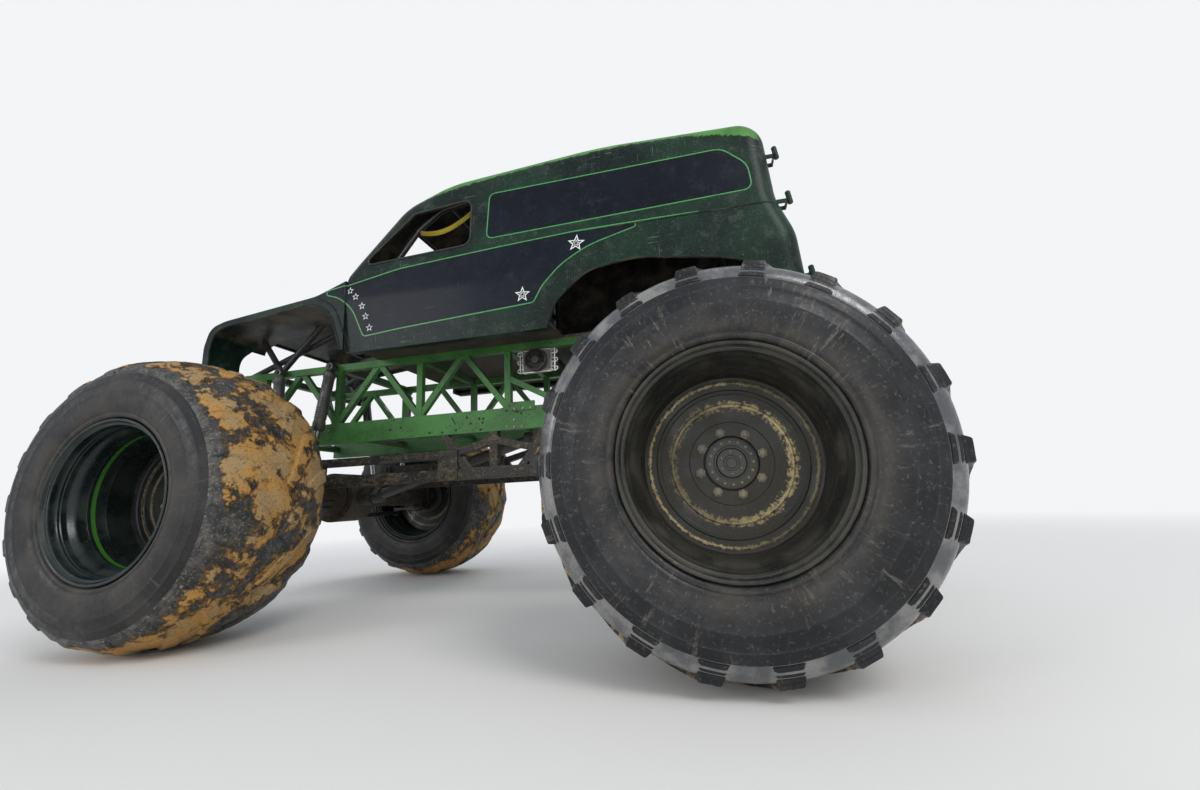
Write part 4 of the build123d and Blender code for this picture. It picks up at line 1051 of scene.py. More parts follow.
nodePaint = {
    chassisPaint: ["lattice_left", "lattice_right"], chassisInner: ["cross_members"],
    bellyPaint: ["belly_frames"], linkPaint: ["front_links", "rear_links"],
    axleSteel: ["front_axle_housing", "rear_axle_housing"], shaftSteel: ["drive_shafts"],
    rodSteel: ["front_tie_rod", "rear_tie_rod"], tubeBlack: ["roll_cage"], braceBlack: ["front_braces"],
    underboard: ["floor"],
}
for material, names in nodePaint.items():
    for name in names:
        paintNode(name, material)
knuckleSteel = muddy("knuckleSteel", (0.03, 0.03, 0.031), (0.11, 0.082, 0.048), 0.505, 0.45)
for wheel in wheels:
    paintNode(wheel[1] + "_knuckle", knuckleSteel)

# Welds, bolts, holes and the doubler plate on the lattice; left side, then mirrored
latticeWork = {
    "posts": [-2.116, -1.586, -0.849, -0.112, 0.625, 1.362, 2.099],
    "openBay": 2, "sideY": 0.450, "railTop": 1.410, "railFace": 0.480, "chordLow": 1.845,
    "footHalf": (0.053, 0.024), "topHalf": (0.050, 0.024), "postHalf": (0.026, 0.026), "weld": 0.0052,
    "bolts": [(-0.108, 1.268), (-0.166, 1.315), (-0.166, 1.262), (-0.225, 1.264), (1.42, 1.29), (1.42, 1.355),
              (-1.02, 1.30), (-1.10, 1.30), (-1.66, 1.29), (-1.66, 1.36), (-1.52, 1.29), (-1.52, 1.36)],
    "holes": [(0.113, 1.347), (0.080, 1.344), (0.085, 1.315), (0.182, 1.317), (0.214, 1.364), (0.104, 1.263),
              (-0.423, 1.310), (-0.422, 1.266), (-0.221, 1.361), (-0.191, 1.373), (-0.104, 1.386),
              (0.862, 1.319), (0.772, 1.329), (0.418, 1.266), (0.525, 1.271), (0.304, 1.275), (-0.302, 1.388),
              (-0.72, 1.33), (-0.72, 1.285), (-1.30, 1.35), (1.62, 1.35), (1.70, 1.35)],
    "slotHole": (0.324, 1.347), "boltSize": 0.0095, "holeSize": 0.0075,
    "plate": (-0.329, -0.142, 1.448, 0.010),  # from, to, top, thickness
}


def weldLoop(centre, half, z):
    path = [(centre[0] + p.x, centre[1] + p.y, z) for p in roundedLoop(*half, 0.008, 0.006)]
    radii = [latticeWork["weld"] * (1 + 0.22 * sin(i * 2.2)) for i in range(len(path))]
    return tube(path, radii, 6, True)


def hole(at, direction, radius, depth=0.0012, segments=14):  # a drilled hole with a raised rim; its near-black inside is painted shade
    rows = [(radius * 1.28, 0), (radius * 1.18, depth), (radius, depth * 0.8), (radius * 0.9, depth * 0.3)]
    points = [(a, b, z) for r, z in rows for _, a, b in circle(segments, r)]
    matrix = aimed(at, direction)
    faces = ringFaces(4, segments) + [tuple(range(3 * segments, 4 * segments))]
    return [matrix @ Vector(p) for p in points], faces


def latticeDetails():
    work = latticeWork
    welds, studs, holes = Build(), Build(), Build()
    y = work["sideY"]
    posts = work["posts"]
    for i, x in enumerate(posts):
        welds.add(weldLoop((x, y), work["postHalf"], work["chordLow"]))
        if i != work["openBay"]:
            welds.add(weldLoop((x, y), work["footHalf"], work["railTop"]))
    for i, (x, after) in enumerate(zip(posts, posts[1:])):
        if i != work["openBay"]:
            welds.add(weldLoop(((x + after) / 2, y), work["topHalf"], work["chordLow"]))
    face = work["railFace"]
    for x, z in work["bolts"]:
        studs.bolt(work["boltSize"], 0.008, (x, face - 0.0006, z), (0, 1, 0), x * 9)
    # the holes and the slot are near-black: painted shade inside them
    for x, z in work["holes"]:
        holes.add(hole((x, face - 0.0002, z), (0, 1, 0), work["holeSize"]))
    sx, sz = work["slotHole"]
    holes.add(tube([(sx + 0.016, face - 0.003, sz + 0.03), (sx - 0.016, face - 0.003, sz - 0.03)], 0.005, 10))
    start, end, top, thick = work["plate"]
    low = work["railTop"] - 0.030
    middle = ((start + end) / 2, face + thick / 2 - 0.0015, (top + low) / 2)
    welds.box((end - start, thick, top - low), 0.003, 2, middle)
    for x in (start + 0.03, (start + end) / 2, end - 0.03):
        studs.bolt(0.0085, 0.007, (x, face + thick - 0.002, low + 0.016), (0, 1, 0), x * 5)
    welds.mirrored().make("lattice_welds", [chassisPaint], "chassis_green", 45)
    studs.mirrored().make("lattice_bolts", [boltZinc], "axle_steel", 35)
    holes.mirrored().make("lattice_holes", [holeShadeAndDarkBolts], "link_black", 35)


latticeDetails()
print("lattice welds, bolts and holes made")

# Pin heads on the links, and bolts, ribs and cover on the axles
pinWork = {"bellyX": 0.400, "low": 0.945, "high": 1.095, "outer": 0.497, "inner": 0.403, "radius": 0.019,
           "axlePin": 0.110, "diffRadius": 0.205, "diffHalf": 0.150,
           "shockHead": (0.250, 0.558, 1.8725), "shockFoot": (0.150, 0.628, 0.960)}


def linkPins():
    pins = Build()
    for end in (-1, 1):
        reach = (pinWork["bellyX"], axleX - pinWork["axlePin"])
        for x, z in [(end * x, z) for x in reach for z in (pinWork["low"], pinWork["high"])]:
            pins.bolt(pinWork["radius"], 0.015, (x, pinWork["outer"] - 0.0006, z), (0, 1, 0), x)
            pins.bolt(pinWork["radius"], 0.013, (x, pinWork["inner"] + 0.0006, z), (0, -1, 0), x)
        for lean in (-1, 1):
            for x, y, z in (pinWork["shockHead"], pinWork["shockFoot"]):
                pins.bolt(0.015, 0.012, (end * axleX + lean * x, y - 0.0006, z), (0, 1, 0), lean)
    pins.mirrored().make("link_pin_heads", [boltDark], "axle_steel", 35)


def axleDetails(endName, x, inward):
    build = Build()
    centre = Vector((x, 0, axleZ))
    half = pinWork["diffHalf"]
    # domed inspection cover on the far side of the case, with its ring of bolts
    cover = lathe([(0.0, 0.150), (0.010, 0.152), (0.016, 0.146), (0.020, 0.118), (0.044, 0.085),
                   (0.056, 0.04), (0.058, 0.001)], 40)
    for side in (-1, 1):
        flip = turned(0 if side > 0 else 180, "Z")
        build.add(cover, 0, shifted(centre + Vector((0, side * (half - 0.001), 0))) @ flip)
        for angle, a, b in circle(12, 0.172):
            build.bolt(0.010, 0.009, centre + Vector((a, side * (half - 0.0006), b)), (0, side, 0), angle)
        for _, a, b in circle(8, 1, 0.5):  # ribs that run out from the case to the tube
            spoke = Vector((a, 0, b))
            start = centre + Vector((0, side * (half + 0.05), 0)) + spoke * 0.085
            end = centre + Vector((0, side * (half + 0.26), 0)) + spoke * 0.080
            build.add(tube([start, start.lerp(end, 0.5), end], [0.016, 0.012, 0.006], 8, False, 0.6))
    # clamp bands along the tube, each with a bolt on top
    for side in (-1, 1):
        for y in (0.72, 0.86, 1.0):
            ring = [(-0.014, 0.0835), (-0.012, 0.089), (0.012, 0.089), (0.014, 0.0835)]
            build.add(lathe(ring, 32), 0, shifted(centre + Vector((0, side * y, 0))))
            build.bolt(0.008, 0.010, centre + Vector((0, side * y, 0.0885)), (0, 0, 1), y)
    nose = centre + Vector((inward * (pinWork["diffRadius"] + 0.055), 0, 0))
    for angle, a, b in circle(10, 0.062):
        build.bolt(0.007, 0.036, nose + Vector((0, a, b)), (inward, 0, 0), angle, 0, 6, 1)
    build.make(endName + "_axle_details", [axleSteel], "axle_steel", 38)


linkPins()
for endName, way in bothEnds:
    axleDetails(endName, way * axleX, -way)
print("link pins and axle details made")


# Dampers: chrome rod, ribbed black body, collars and eye bushes
shockWork = {"feet": (0.150, 0.600, 0.960), "heads": (0.250, 0.530, 1.8725), "rodShare": 0.45,
             "body": 0.046, "rod": 0.022}
chrome = dirty("damperRod", (0.55, 0.56, 0.57), (0.36, 0.36, 0.36), 0.15, 0.25, 0.16, 1.0, 0.1)
damperBlack = dirty("damperBody", (0.020, 0.021, 0.023), (0.035, 0.034, 0.032), 0.3, 0.4, 0.36,
                    Coat_Weight=0.2)


def makeDampers(endName, x):
    build = Build()
    for side in (1, -1):
        for lean in (-1, 1):
            fx, fy, fz = shockWork["feet"]
            hx, hy, hz = shockWork["heads"]
            foot = Vector((x + lean * fx, side * fy, fz))
            head = Vector((x + lean * hx, side * hy, hz))
            length = (head - foot).length
            share = shockWork["rodShare"] * length
            rod, body = shockWork["rod"], shockWork["body"]
            build.add(along([(0.0, rod), (share, rod), (share + 0.02, rod)], foot, head))
            collar = [(share - 0.028, rod + 0.001), (share - 0.026, 0.034), (share - 0.012, 0.036),
                      (share - 0.010, 0.043), (share, body), (share + 0.05, body),
                      (share + 0.054, body - 0.004)]
            ribs = []
            for k in range(9):
                at = share + 0.075 + k * 0.020
                ribs += [(at, body - 0.004), (at + 0.003, body), (at + 0.009, body),
                         (at + 0.012, body - 0.004)]
            top = [(length - 0.10, body - 0.004), (length - 0.095, body), (length - 0.055, body),
                   (length - 0.050, body - 0.006), (length - 0.034, 0.030), (length - 0.02, 0.028)]
            build.add(along(collar + ribs + top, foot, head, 32), 1)
            for at in (foot, head):
                eye = [(-0.0275, 0.0175), (-0.0275, 0.030), (-0.025, 0.034), (0.025, 0.034), (0.0275, 0.030),
                       (0.0275, 0.0175)]
                build.add(lathe(eye, 28), 1, shifted(at))
            # valve block near the foot of the body, on the outer side
            way = (head - foot).normalized()
            spot = foot + way * (share + 0.32) + Vector((0, side * 0.030, 0))
            build.add(bevelBox((0.034, 0.040, 0.05), 0.005), 1, aimed(spot, way))
    build.make(endName + "_dampers", [chrome, damperBlack], "shock_metal", 40, [endName + "_shocks"])


for endName, way in bothEnds:
    makeDampers(endName, way * axleX)
print("dampers made")


# Kingpin caps and wall bolts ride with the steering
def knuckleDetails(endName, corner, body, centre, outward):
    low, high = nodeBox(corner + "_knuckle")[:2]
    pinY = low.y + 0.095 if outward > 0 else high.y - 0.095
    build = Build()
    cap = [(0.0, 0.058), (0.008, 0.058), (0.012, 0.054), (0.014, 0.030), (0.020, 0.024), (0.022, 0.001)]
    top, bottom = centre.z + 0.1353, centre.z - 0.1353
    for level, way in ((top, 1), (bottom, -1)):
        at = Vector((centre.x, pinY, level - way * 0.0006))
        build.spun(cap, at, (0, 0, way))
        for angle, a, b in circle(6, 0.044, 0.5):
            build.bolt(0.007, 0.008, at + Vector((a, b, way * 0.0085)), (0, 0, way), angle, 0, 6, 1)
    build.make(corner + "_kingpin_caps", [boltDark], "axle_steel", 38, (), corner + "_steering")


for wheel in wheels:
    knuckleDetails(*wheel)
print("kingpin caps made")


# Engine: a V-eight block with heads, covers, intake, blower belt, headers and sump
castIron = dirty("castAluminium", (0.26, 0.26, 0.25), (0.14, 0.135, 0.125), 0.35, 0.5, 0.45, 0.75)
blockBlack = dirty("engineBlack", (0.018, 0.018, 0.019), (0.03, 0.028, 0.026), 0.3, 0.45, 0.45)
headerSteel = dirty("headerSteel", (0.24, 0.19, 0.14), (0.11, 0.08, 0.06), 0.3, 0.4, 0.4, 0.85)
beltRubber = dirty("beltRubber", (0.016, 0.016, 0.016), (0.03, 0.03, 0.03), 0.2, 0.3, 0.7)
engineShape = {
    "middle": -0.752, "low": 1.3601, "bankDegrees": 45, "bores": 4, "boreStep": 0.125,
    # size, bevel, steps, place from the middle of the sump's foot, finish
    "castings": [((0.56, 0.19, 0.20), 0.02, 3, (0, 0, 0.175), 1),
                 ((0.54, 0.24, 0.09), 0.025, 3, (0, 0, 0.115), 1),
                 ((0.50, 0.20, 0.10), 0.03, 3, (-0.01, 0, 0.052), 0),
                 ((0.40, 0.15, 0.10), 0.02, 3, (0, 0, 0.335), 0),
                 ((0.30, 0.115, 0.05), 0.012, 3, (0, 0, 0.402), 0),
                 ((0.05, 0.20, 0.30), 0.02, 3, (0.295, 0, 0.20), 0)],
    # head and cover on each leaning bank: size, bevel, steps, height, finish
    "bank": [((0.54, 0.145, 0.17), 0.012, 2, 0.10, 1), ((0.55, 0.155, 0.060), 0.01, 2, 0.210, 0),
             ((0.52, 0.105, 0.055), 0.02, 4, 0.264, 2)],
    # y, height, radius
    "pulleys": [(0, 0.085, 0.062), (-0.13, 0.26, 0.040), (0.13, 0.26, 0.036), (0, 0.34, 0.042)],
    "cleaner": [(0, 0.066), (0.006, 0.070), (0.010, 0.070), (0.014, 0.062), (0.050, 0.062), (0.054, 0.070),
                (0.060, 0.070), (0.066, 0.058), (0.068, 0.001)],
    "bell": [(0, 0.150), (0.02, 0.158), (0.03, 0.15), (0.065, 0.125), (0.07, 0.05), (0.07, 0.001)],
}


def makeEngine():
    e = engineShape
    mx, low = e["middle"], e["low"]
    foot = Vector((mx, 0, low))
    build = Build()
    for size, bevel, steps, at, slot in e["castings"]:
        build.box(size, bevel, steps, foot + Vector(at), slot)
    for side in (1, -1):
        bank = shifted((mx, 0, low + 0.17)) @ turned(-side * e["bankDegrees"], "X")
        for size, bevel, steps, z, slot in e["bank"]:
            build.add(bevelBox(size, bevel, steps), slot, bank @ shifted((0, 0, z)))
        for k in range(7):  # ribs along the cover
            build.add(bevelBox((0.010, 0.080, 0.008), 0.003), 2, bank @ shifted(((k - 3) * 0.064, 0, 0.293)))
        for k in range(5):
            for edge in (-1, 1):
                build.add(boltHead(0.007, 0.009), 0, bank @ shifted(((k - 2) * 0.118, edge * 0.062, 0.240)))
        for k in range(e["bores"]):  # exhaust runners curve down into a collector
            x = mx + (k - 1.5) * e["boreStep"]
            start = bank @ Vector((x - mx, side * 0.072, 0.205))
            mid = Vector((x - 0.02, side * 0.272, low + 0.235))
            end = Vector((mx - 0.30 + k * 0.012, side * 0.255, low + 0.075 + k * 0.008))
            path = [start, start.lerp(mid, 0.6) + Vector((0, side * 0.02, 0.02)), mid,
                    mid.lerp(end, 0.4) + Vector((0, side * 0.010, -0.03)), end]
            build.add(tube(smoothPath(path, 4), 0.019, 14), 3)
        build.add(tube([(mx - 0.26, side * 0.255, low + 0.085), (mx - 0.33, side * 0.255, low + 0.082),
                        (mx - 0.357, side * 0.252, low + 0.08)], 0.036, 18), 3)
    for k in (-1, 1):
        build.spun(e["cleaner"], foot + Vector((k * 0.085, 0, 0.425)), (0, 0, 1), 36, 2)
    # front drive: pulleys and belt (the crank faces forwards)
    front = mx + 0.30
    belt = []
    for y, z, r in e["pulleys"]:
        wheel = [(0, 0.012), (0.002, r), (0.005, r), (0.009, r - 0.006), (0.017, r - 0.006), (0.021, r),
                 (0.024, r), (0.026, r * 0.55), (0.020, r * 0.45), (0.020, 0.014), (0.028, 0.012),
                 (0.028, 0.001)]
        build.spun(wheel, (front + 0.020, y, low + z), (1, 0, 0), 32)
        belt += [Vector((y + a, z + b)) for _, a, b in circle(24, r - 0.004)]
    belt = evenly([belt[i] for i in geometry.convex_hull_2d(belt)], 0.012)
    build.add(tube([(front + 0.033, p.x, low + p.y) for p in belt], 0.0045, 8, True, 1.6), 4)
    for side in (1, -1):  # water hoses
        hose = [(front + 0.01, side * 0.06, low + 0.42), (front + 0.03, side * 0.11, low + 0.455),
                (front + 0.035, side * 0.18, low + 0.46), (front + 0.03, side * 0.25, low + 0.44)]
        build.add(tube(hose, 0.019, 14), 4)
        for spot in (hose[0], hose[3]):
            build.add(lathe([(-0.006, 0.020), (-0.005, 0.0225), (0.005, 0.0225), (0.006, 0.020)], 20), 0,
                      shifted(spot))
    build.spun(e["bell"], foot + Vector((-0.29, 0, 0.175)), (-1, 0, 0), 36)
    for y in (-0.17, 0.17):  # feet that carry it on the cross tubes
        for x in (mx - 0.10, mx + 0.10):
            build.box((0.05, 0.10, 0.012), 0.003, 2, (x, y, low + 0.0065), 1)
            build.box((0.012, 0.10, 0.10), 0.003, 2, (x, y * 0.85, low + 0.06), 1)
    build.make("engine_dressed", [castIron, blockBlack, blockBlack, headerSteel, beltRubber],
               "machine_grey", 35, ["engine_block"])


def makeTransferCase():
    build = Build()
    low, high, middle, size = nodeBox("transfer_case")
    build.box((size.x * 0.80, size.y * 0.94, size.z * 0.97), 0.03, 4, middle)
    for k in range(7):
        z = low.z + size.z * (0.14 + 0.12 * k)
        build.box((size.x * 0.84, size.y * 0.985, 0.007), 0.002, 2, (middle.x, 0, z))
    cap = [(0, 0.088), (0.012, 0.090), (0.016, 0.084), (0.018, 0.060), (0.0235, 0.058), (0.0235, 0.001)]
    for way in (1, -1):
        for z in (low.z + 0.090, high.z - 0.095):
            at = Vector((middle.x + way * size.x * 0.40, 0, z))
            build.spun(cap, at, (way, 0, 0), 32)
            for angle, a, b in circle(8, 0.074):
                build.bolt(0.006, 0.006, at + Vector((way * 0.016, a, b)), (way, 0, 0), angle, 1, 6, 1)
    for side in (1, -1):
        for k in range(3):
            for z in (low.z + 0.022, high.z - 0.022):
                at = (middle.x + (k - 1) * 0.08, side * (size.y * 0.47 - 0.001), z)
                build.bolt(0.007, 0.006, at, (0, side, 0), k, 1)
    build.make("transfer_case_cast", [castIron, boltDark], "machine_grey", 35, ["transfer_case"])


makeEngine()
makeTransferCase()
print("engine and transfer case made")

# Oil cooler with return bends, and its round fan; left side only, as in the photograph
coolerShape = {"x": -0.346, "y0": 0.435, "y1": 0.465, "z": 1.750, "half": 0.110, "height": 0.178,
               "rod": 0.008, "rodOut": 0.135, "rows": 8, "fanRadius": 0.088, "fanDepth": 0.050, "blades": 7,
               # half of an outer bend: from the core's middle, above the bend's middle
               "bend": [(0.106, 0.0145), (0.142, 0.0145), (0.151, 0.0115), (0.1565, 0.0045)]}
coolerAlloy = dirty("coolerAlloy", (0.60, 0.60, 0.585), (0.42, 0.41, 0.38), 0.4, 0.5, 0.36, 0.85)
fanBlack = dirty("fanPlastic", (0.014, 0.014, 0.015), (0.03, 0.03, 0.029), 0.3, 0.4, 0.42)


def makeCooler():
    c = coolerShape
    low, high = nodeBox("oil_cooler")[:2]
    y = (c["y0"] + c["y1"]) / 2
    build = Build()
    for k in range(62):  # thin fins between the two tanks
        x = c["x"] - c["half"] + 0.006 + (2 * c["half"] - 0.012) * k / 61
        build.box((0.0011, 0.027, c["height"] - 0.006), 0.0003, 1, (x, y, c["z"]))
    for end in (-1, 1):
        z = c["z"] + end * (c["height"] / 2 - 0.004)
        build.box((2 * c["half"], 0.0295, 0.008), 0.002, 2, (c["x"], y, z))
        build.box((0.004, 0.030, c["height"]), 0.001, 2, (c["x"] + end * c["half"], y, c["z"]))
        rodX = c["x"] + end * c["rodOut"]
        rod = [(rodX, y, low.z + 0.001), (rodX, y, c["z"]), (rodX, y, high.z - 0.001)]
        build.add(tube(rod, c["rod"], 16))
        for k in range(3):  # large outer loops, open towards the core
            z = c["z"] + (k - 1) * 0.066
            rows = [(c["x"] + end * out, rise) for out, rise in c["bend"]]
            bend = [(x, y, z - rise) for x, rise in rows] + [(x, y, z + rise) for x, rise in rows[::-1]]
            build.add(tube(bend, 0.0062, 12))
        for k in range(c["rows"]):
            z = c["z"] + (k - (c["rows"] - 1) / 2) * 0.0205
            ring = [(-0.004, 0.0060), (-0.003, 0.0078), (0.003, 0.0078), (0.004, 0.0060)]
            build.spun(ring, (c["x"] + end * (c["half"] + 0.006), y, z), (end, 0, 0), 14)
    build.make("oil_cooler_core", [coolerAlloy], "cooler_metal", 35, ["oil_cooler"])


def makeFan():
    c = coolerShape
    build = Build()
    place = shifted((c["x"], 0, c["z"]))
    y0 = c["y1"] + 0.0004
    depth = c["fanDepth"] - 0.001
    r = c["fanRadius"]
    shroud = [(y0, r - 0.012), (y0, r - 0.001), (y0 + 0.010, r - 0.001), (y0 + 0.012, r - 0.006),
              (y0 + depth - 0.006, r - 0.006), (y0 + depth - 0.003, r - 0.003), (y0 + depth, r - 0.006),
              (y0 + depth, r - 0.010), (y0 + depth - 0.004, r - 0.012), (y0, r - 0.012)]
    build.add(lathe(shroud, 56), 0, place)
    hub = [(y0 + 0.004, 0.001), (y0 + 0.004, 0.032), (y0 + depth - 0.012, 0.032), (y0 + depth - 0.006, 0.028),
           (y0 + depth - 0.005, 0.018), (y0 + depth - 0.008, 0.015), (y0 + depth - 0.008, 0.001)]
    build.add(lathe(hub, 40), 0, place)
    # a near-black disc behind the blades: painted shade inside the shroud
    build.add(disc(y0 + 0.0015, r - 0.012, 40), 1, place)
    for ring in (0.044, 0.057, 0.070):
        points = [(c["x"] + a, y0 + depth - 0.004, c["z"] + b) for _, a, b in circle(48, ring)]
        build.add(tube(points, 0.0013, 6, True))
    middle = Vector((c["x"], y0 + depth - 0.004, c["z"]))
    for _, a, b in circle(8, 1, 0.25):  # guard spokes
        way = Vector((a, 0, b))
        build.add(tube([middle + way * 0.029, middle + way * 0.05, middle + way * (r - 0.008)], 0.0016, 6))
    for k in range(c["blades"]):
        points, faces = [], []
        for i in range(7):
            share = i / 6
            radius = 0.031 + (r - 0.016 - 0.031) * share
            for side in (-1, 1):
                for skin in (0, 1):
                    angle = tau * k / c["blades"] + 0.42 * share ** 1.4 + side * (0.36 - 0.06 * share)
                    height = y0 + 0.022 + side * (0.011 - 0.003 * share) + skin * 0.0015
                    points.append((c["x"] + radius * cos(angle), height, c["z"] + radius * sin(angle)))
        for i in range(6):
            a, b = i * 4, (i + 1) * 4
            faces += [(a, b, b + 2, a + 2), (a + 1, a + 3, b + 3, b + 1), (a, a + 1, b + 1, b),
                      (a + 2, b + 2, b + 3, a + 3)]
        faces += [(0, 2, 3, 1), (24, 25, 27, 26)]
        build.add((points, faces))
    build.make("cooler_fan_guarded", [fanBlack, holeShadeAndDarkBolts], "fan_black", 35, ["cooler_fan"])


makeCooler()
makeFan()
print("oil cooler and fan made")


# Doors and screen: rubbers, beads, a handle and hinge caps
def endSkin(names, direction):  # drops points onto the front or rear of the body, along x
    tree = skinTree(names)

    def drop(y, z, lift=0.0):
        hit, normal, _, _ = tree.ray_cast(Vector((direction * 4, y, z)), Vector((-direction, 0, 0)), 6)
        if hit is None or hit.x * direction < 0:
            return None
        if normal.x * direction < 0:
            normal = -normal
        return hit + normal * lift
    return drop


def endTube(drop, rows, radius, closed=True, step=0.025):
    loop = evenly(filletLoop(rows, closed), step, closed)
    centre = sum(loop, Vector((0, 0))) / len(loop)
    path = []
    for spot in loop:
        away = (spot - centre).normalized()
        for share in (0.0, 0.004, 0.008, 0.014):
            found = drop(*(spot + away * share))
            if found is not None:
                path.append(Vector((found.x, spot.x, spot.y)))
                break
    return tube(path, radius, 10, closed)


doorWork = {
    "window": [(0.620, 2.600, 0.06), (0.620, 2.860, 0.06), (0.100, 2.860, 0.06), (0.100, 2.600, 0.06)],
    "screen": [(0.600, 2.560, 0.04), (0.600, 2.905, 0.04), (-0.600, 2.905, 0.04), (-0.600, 2.560, 0.04)],
    "handle": (0.075, 2.400), "hingeRows": [(2.016, -2.262), (2.540, -2.187), (2.873, -2.140)],
    "hingeY": 0.800,
    "panel": [(0.610, 2.000, 0.05), (0.610, 2.400, 0.05), (0.080, 2.400, 0.05), (0.080, 2.000, 0.05)],
}


def makeDoorDetails(sideName, side):
    drop = endSkin(["rear_door_" + sideName], -1)
    flip = [(y * side, z, r) for y, z, r in doorWork["window"]]
    seal, trim = Build(), Build()
    seal.add(endTube(drop, flip, 0.008))
    door = sideName + "_door"
    seal.make("door_window_rubber_" + sideName, [rubberTrim], "cage_black", 50, (), door)
    trim.add(endTube(drop, [(y * side, z, r) for y, z, r in doorWork["panel"]], 0.0035))
    if side > 0:
        y, z = doorWork["handle"]
        at = drop(y, z, -0.001)
        build = Build()
        base = [(0, 0.034), (0.004, 0.036), (0.010, 0.033), (0.012, 0.020), (0.040, 0.016), (0.044, 0.001)]
        build.spun(base, at, (-1, 0, 0))
        grip = [at + Vector((x, 0, z)) for x, z in
                ((-0.036, 0.004), (-0.044, -0.03), (-0.046, -0.075), (-0.042, -0.115))]
        build.add(tube(grip, [0.012, 0.010, 0.0095, 0.011], 14, False, 1.5))
        build.make("door_handle", [boltZinc], "axle_steel", 40, (), door)
    trim.make("door_bead_" + sideName, [doorPaint], "body_black", 50, (), door)
    caps = Build()
    for z, x in doorWork["hingeRows"]:
        at = Vector((x, doorWork["hingeY"] * side, z))
        axis = Vector((0.140936, 0, 0.990019))
        cap = [(0, 0.016), (0.003, 0.0165), (0.007, 0.014), (0.009, 0.001)]
        caps.add(along(cap, at + axis * 0.0357, at + axis * 0.05, 20))
        low = at - axis * 0.0357
        caps.add(along(cap, low, low - axis, 20))
    caps.make("hinge_caps_" + sideName, [boltDark], "cage_black", 40)


makeDoorDetails("left", 1)
makeDoorDetails("right", -1)
screenSeal = Build()
screenSeal.add(endTube(endSkin(["windscreen_frame"], 1), doorWork["screen"], 0.008))
screenSeal.make("screen_rubber", [rubberTrim], "cage_black", 50)
print("door and screen details made")

# Bonnet pins and the bolts that hold the front clip and the arches
clipWork = {"pins": [(2.12, 0.33), (1.15, 0.36)],
            "archRivets": [(-0.60, 1.96), (-0.70, 2.10), (-0.86, 2.235), (-1.10, 2.275), (-1.36, 2.262),
                           (-1.62, 2.22), (-1.86, 2.155), (-2.02, 2.05)],
            "sillRivets": [(0.92 - 0.22 * k, 1.885) for k in range(7)]}


def makeClipFastenings():
    build = Build()
    top = skinTree(["front_clip"])
    for x, y in clipWork["pins"]:
        for side in (1, -1):
            hit, normal, _, _ = top.ray_cast(Vector((x, y * side, 4)), Vector((0, 0, -1)), 4)
            if hit is None or hit.z < 2:
                continue
            if normal.z < 0:
                normal = -normal
            plate = [(-0.001, 0.026), (0.003, 0.026), (0.004, 0.024), (0.004, 0.008), (0.022, 0.007),
                     (0.024, 0.005), (0.024, 0.001)]
            build.add(along(plate, hit, hit + normal, 24))
            edge = normal.orthogonal().normalized()
            ring = [hit + normal * 0.014 + Matrix.Rotation(tau * k / 16, 3, normal) @ edge
                    * 0.014 for k in range(16)]
            build.add(tube(ring, 0.0016, 6, True))
    for side in (1, -1):
        for x, z in clipWork["archRivets"] + clipWork["sillRivets"]:
            at = onSide(x, z, side, -0.0008)
            if at is not None:
                build.bolt(0.006, 0.0045, at, (0, side, 0), 0, 0, 10)
    build.make("body_fasteners", [boltDark], "body_black", 38)


makeClipFastenings()
print("bonnet pins and rivets made")


# Cab: seat shells with sewn cushions, harness, steering wheel and dash
def woven(name, colour, second, scale=900):
    f = Finish(name, colour, 0.85, 0.0, Sheen_Weight=0.25, Sheen_Roughness=0.5, Specular_IOR_Level=0.3)
    warp = f.put("TexWave", wave_type="BANDS", bands_direction="X")
    weft = f.put("TexWave", wave_type="BANDS", bands_direction="Z")
    for node in (warp, weft):
        f.tree.links.new(f.source.outputs["Object"], node.inputs["Vector"])
        node.inputs["Scale"].default_value = scale / 6.283
        node.inputs["Distortion"].default_value = 0.4
    weave = f.times(warp.outputs["Fac"], weft.outputs["Fac"])
    tone = f.blend(f.band(weave, 0.2, 0.8), second, colour)
    dust = f.times(f.spots(9, 7, 0.7, 0.48, 0.68), 0.4)
    f.colour(f.blend(dust, tone, dustPale))
    f.bump(weave, 0.0008, 0.5)
    f.bump(f.noise(13, 4, 0.5), 0.003, 0.2)
    return f.material


seatCloth = woven("seatCloth", (0.022, 0.022, 0.024), (0.010, 0.010, 0.011))
beltYellow = woven("beltWebbing", (0.62, 0.50, 0.03), (0.42, 0.32, 0.02), 1300)
shellBlack = dirty("seatShell", (0.016, 0.016, 0.017), (0.024, 0.024, 0.025), 0.2, 0.3, 0.38)
seatShape = {
    "y": 0.380, "halfWidth": 0.230,
    # the shell's middle line: along, height
    "line": [(0.470, 2.040, 0.02), (0.470, 2.000, 0.03), (0.090, 1.990, 0.12), (-0.030, 2.700, 0.03),
             (-0.030, 2.728, 0.0)],
    "shellThickness": 0.012, "wing": 0.085,
    # name, length, width, thickness, channels, x, z, lean in degrees
    "pads": [("seat_cushion_", 0.345, 0.36, 0.085, 4, 0.285, 2.0085, -1.5),
             ("back_cushion_", 0.50, 0.36, 0.060, 5, 0.043, 2.345, 80.4),
             ("head_cushion_", 0.12, 0.25, 0.045, 0, -0.012, 2.672, 80.4)],
}


